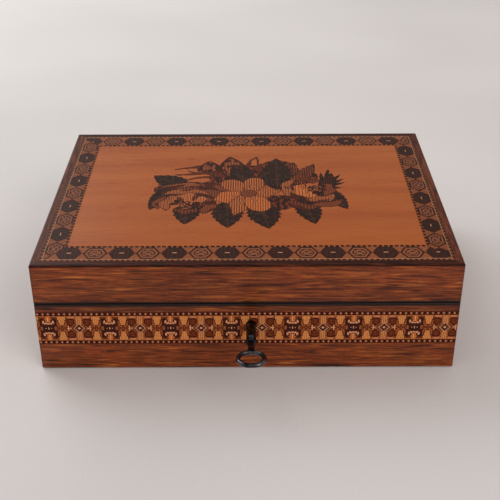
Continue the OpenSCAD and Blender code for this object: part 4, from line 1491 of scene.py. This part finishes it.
def flat_lining(name, low, high, finish, slot, body, stands_for, lies_on, below=False):
    """A lining between two corners. Its upper side shows, or its lower side if below."""
    columns, rows = (max(round((high[i] - low[i]) / lining_step), 4) for i in (0, 1))
    back_z, face_z = (high[2], low[2]) if below else (low[2], high[2])
    grid = []
    for r in range(rows + 1):
        y = low[1] + (high[1] - low[1]) * r / rows
        line = []
        for c in range(columns + 1):
            x = low[0] + (high[0] - low[0]) * c / columns
            at_rim = r in (0, rows) or c in (0, columns)
            dip = most_dip * (noise.noise(Vector((x, y, 0)) / patch) + 1) / 2
            sunk = 0.0 if below else rim_dip if at_rim else dip
            line.append((x, y, face_z + (back_z - face_z) * sunk))
        grid.append(line[::-1] if below else line)
    lining = sheet_mesh(name, grid)
    close_behind(lining, back_z)
    settle(lining, finish, slot, body, stands_for)


velvet_low, velvet_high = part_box("tray_velvet")
low_z, high_z = velvet_low.z, velvet_high.z
COMPARTMENTS = {
    "front_left": (-107.1, -40.7, -77.1, 8.7), "front_right": (40.7, 107.1, -77.1, 8.7),
    "back_left": (-107.1, -1.5, 11.7, 77.1), "back_right": (1.5, 107.1, 11.7, 77.1),
}
for name, (x0, x1, y0, y1) in COMPARTMENTS.items():
    flat_lining(f"{name}_tray_velvet", (x0 * mm, y0 * mm, low_z), (x1 * mm, y1 * mm, high_z),
                velvet, "velvet", "tray", "tray_velvet", "tray_floor")
flat_lining("floor_velvet", *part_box("floor_lining"),
            velvet, "velvet", "case", "floor_lining", "base_bottom_board")
flat_lining("baize_under_base", *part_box("underside_baize"),
            baize, "baize", "case", "underside_baize", "base_bottom_board", below=True)
print("six flat linings")

# %% [markdown]
# ## Ribbons to lift the tray
# A short ribbon is glued to each end wall and curls over at its free end. Its course is simplest to see
# from its edge: straight up the wall, and then half a turn.

# %% Course of a ribbon
RIBBON_MIDDLE_Y = 44.4 * mm
RIBBON_WIDTH = 10 * mm
RIBBON_THICK = 0.6 * mm
RIBBON_STAND = (27.6 * mm, 35.5 * mm)
CURL_R = 2.7 * mm
CURL_X = 104.4 * mm
STAND_STEPS = 8
CURL_STEPS = 16


def ribbon_side():
    """The ribbon seen from its edge: places (x, z) with the direction square to it."""
    foot_z, curl_z = RIBBON_STAND
    side = [(CURL_X + CURL_R, foot_z + (curl_z - foot_z) * i / STAND_STEPS, 1.0, 0.0)
            for i in range(STAND_STEPS)]
    for i in range(CURL_STEPS + 1):
        out_x, out_z = math.cos(math.pi * i / CURL_STEPS), math.sin(math.pi * i / CURL_STEPS)
        side.append((CURL_X + CURL_R * out_x, curl_z + CURL_R * out_z, out_x, out_z))
    return side


print("a ribbon has", len(ribbon_side()), "places from foot to tip")

# %% [markdown]
# ## Weaving the ribbons
# Each ribbon is laid first up its front and then down its back, closed round, and thinned at its edges.
# The curl ripples slightly across, as silk does once it has been pulled. Solving a strip that small as
# cloth would only add time.

# %% Ribbons


def make_ribbon(name, way):
    """A ribbon at the right end of the tray, or at the left one where way is -1."""
    across = 10
    grid = []
    for face in (1, -1):
        lines = []
        for k, (x, z, out_x, out_z) in enumerate(ribbon_side()):
            line = []
            for c in range(across + 1):
                share = 2 * c / across - 1
                ripple = 0.09 * mm * math.sin(3 * math.pi * share) * min(k / 12, 1)
                thin_edge = 1 - 0.5 * abs(share) ** 8
                off = face * 0.5 * RIBBON_THICK * thin_edge - ripple * (k > STAND_STEPS)
                y = RIBBON_MIDDLE_Y + share * RIBBON_WIDTH / 2
                line.append((way * (x + off * out_x), y, z + off * out_z))
            lines.append(line)
        grid.extend(lines if face == 1 else lines[::-1])
    grid.append(grid[0])
    piece = sheet_mesh(name, grid if way == 1 else [line[::-1] for line in grid])
    whole = bmesh.new()
    whole.from_mesh(piece.data)
    bmesh.ops.remove_doubles(whole, verts=whole.verts, dist=0.001 * mm)
    bmesh.ops.holes_fill(whole, edges=[e for e in whole.edges if e.is_boundary], sides=0)
    bmesh.ops.recalc_face_normals(whole, faces=whole.faces)
    whole.to_mesh(piece.data)
    whole.free()
    settle(piece, ribbon, "ribbon", "tray", "tray_ribbons")


for name, way in (("left_ribbon", -1), ("right_ribbon", 1)):
    make_ribbon(name, way)
print("two ribbons")

# %% [markdown]
# ## Size of the drawing's box
# The finished model has to keep the drawing's size, so the drawing's size is printed here.

# %% Sizes and the end
print("built", [round(v / mm, 1) for v in built_box[1] - built_box[0]], "mm")
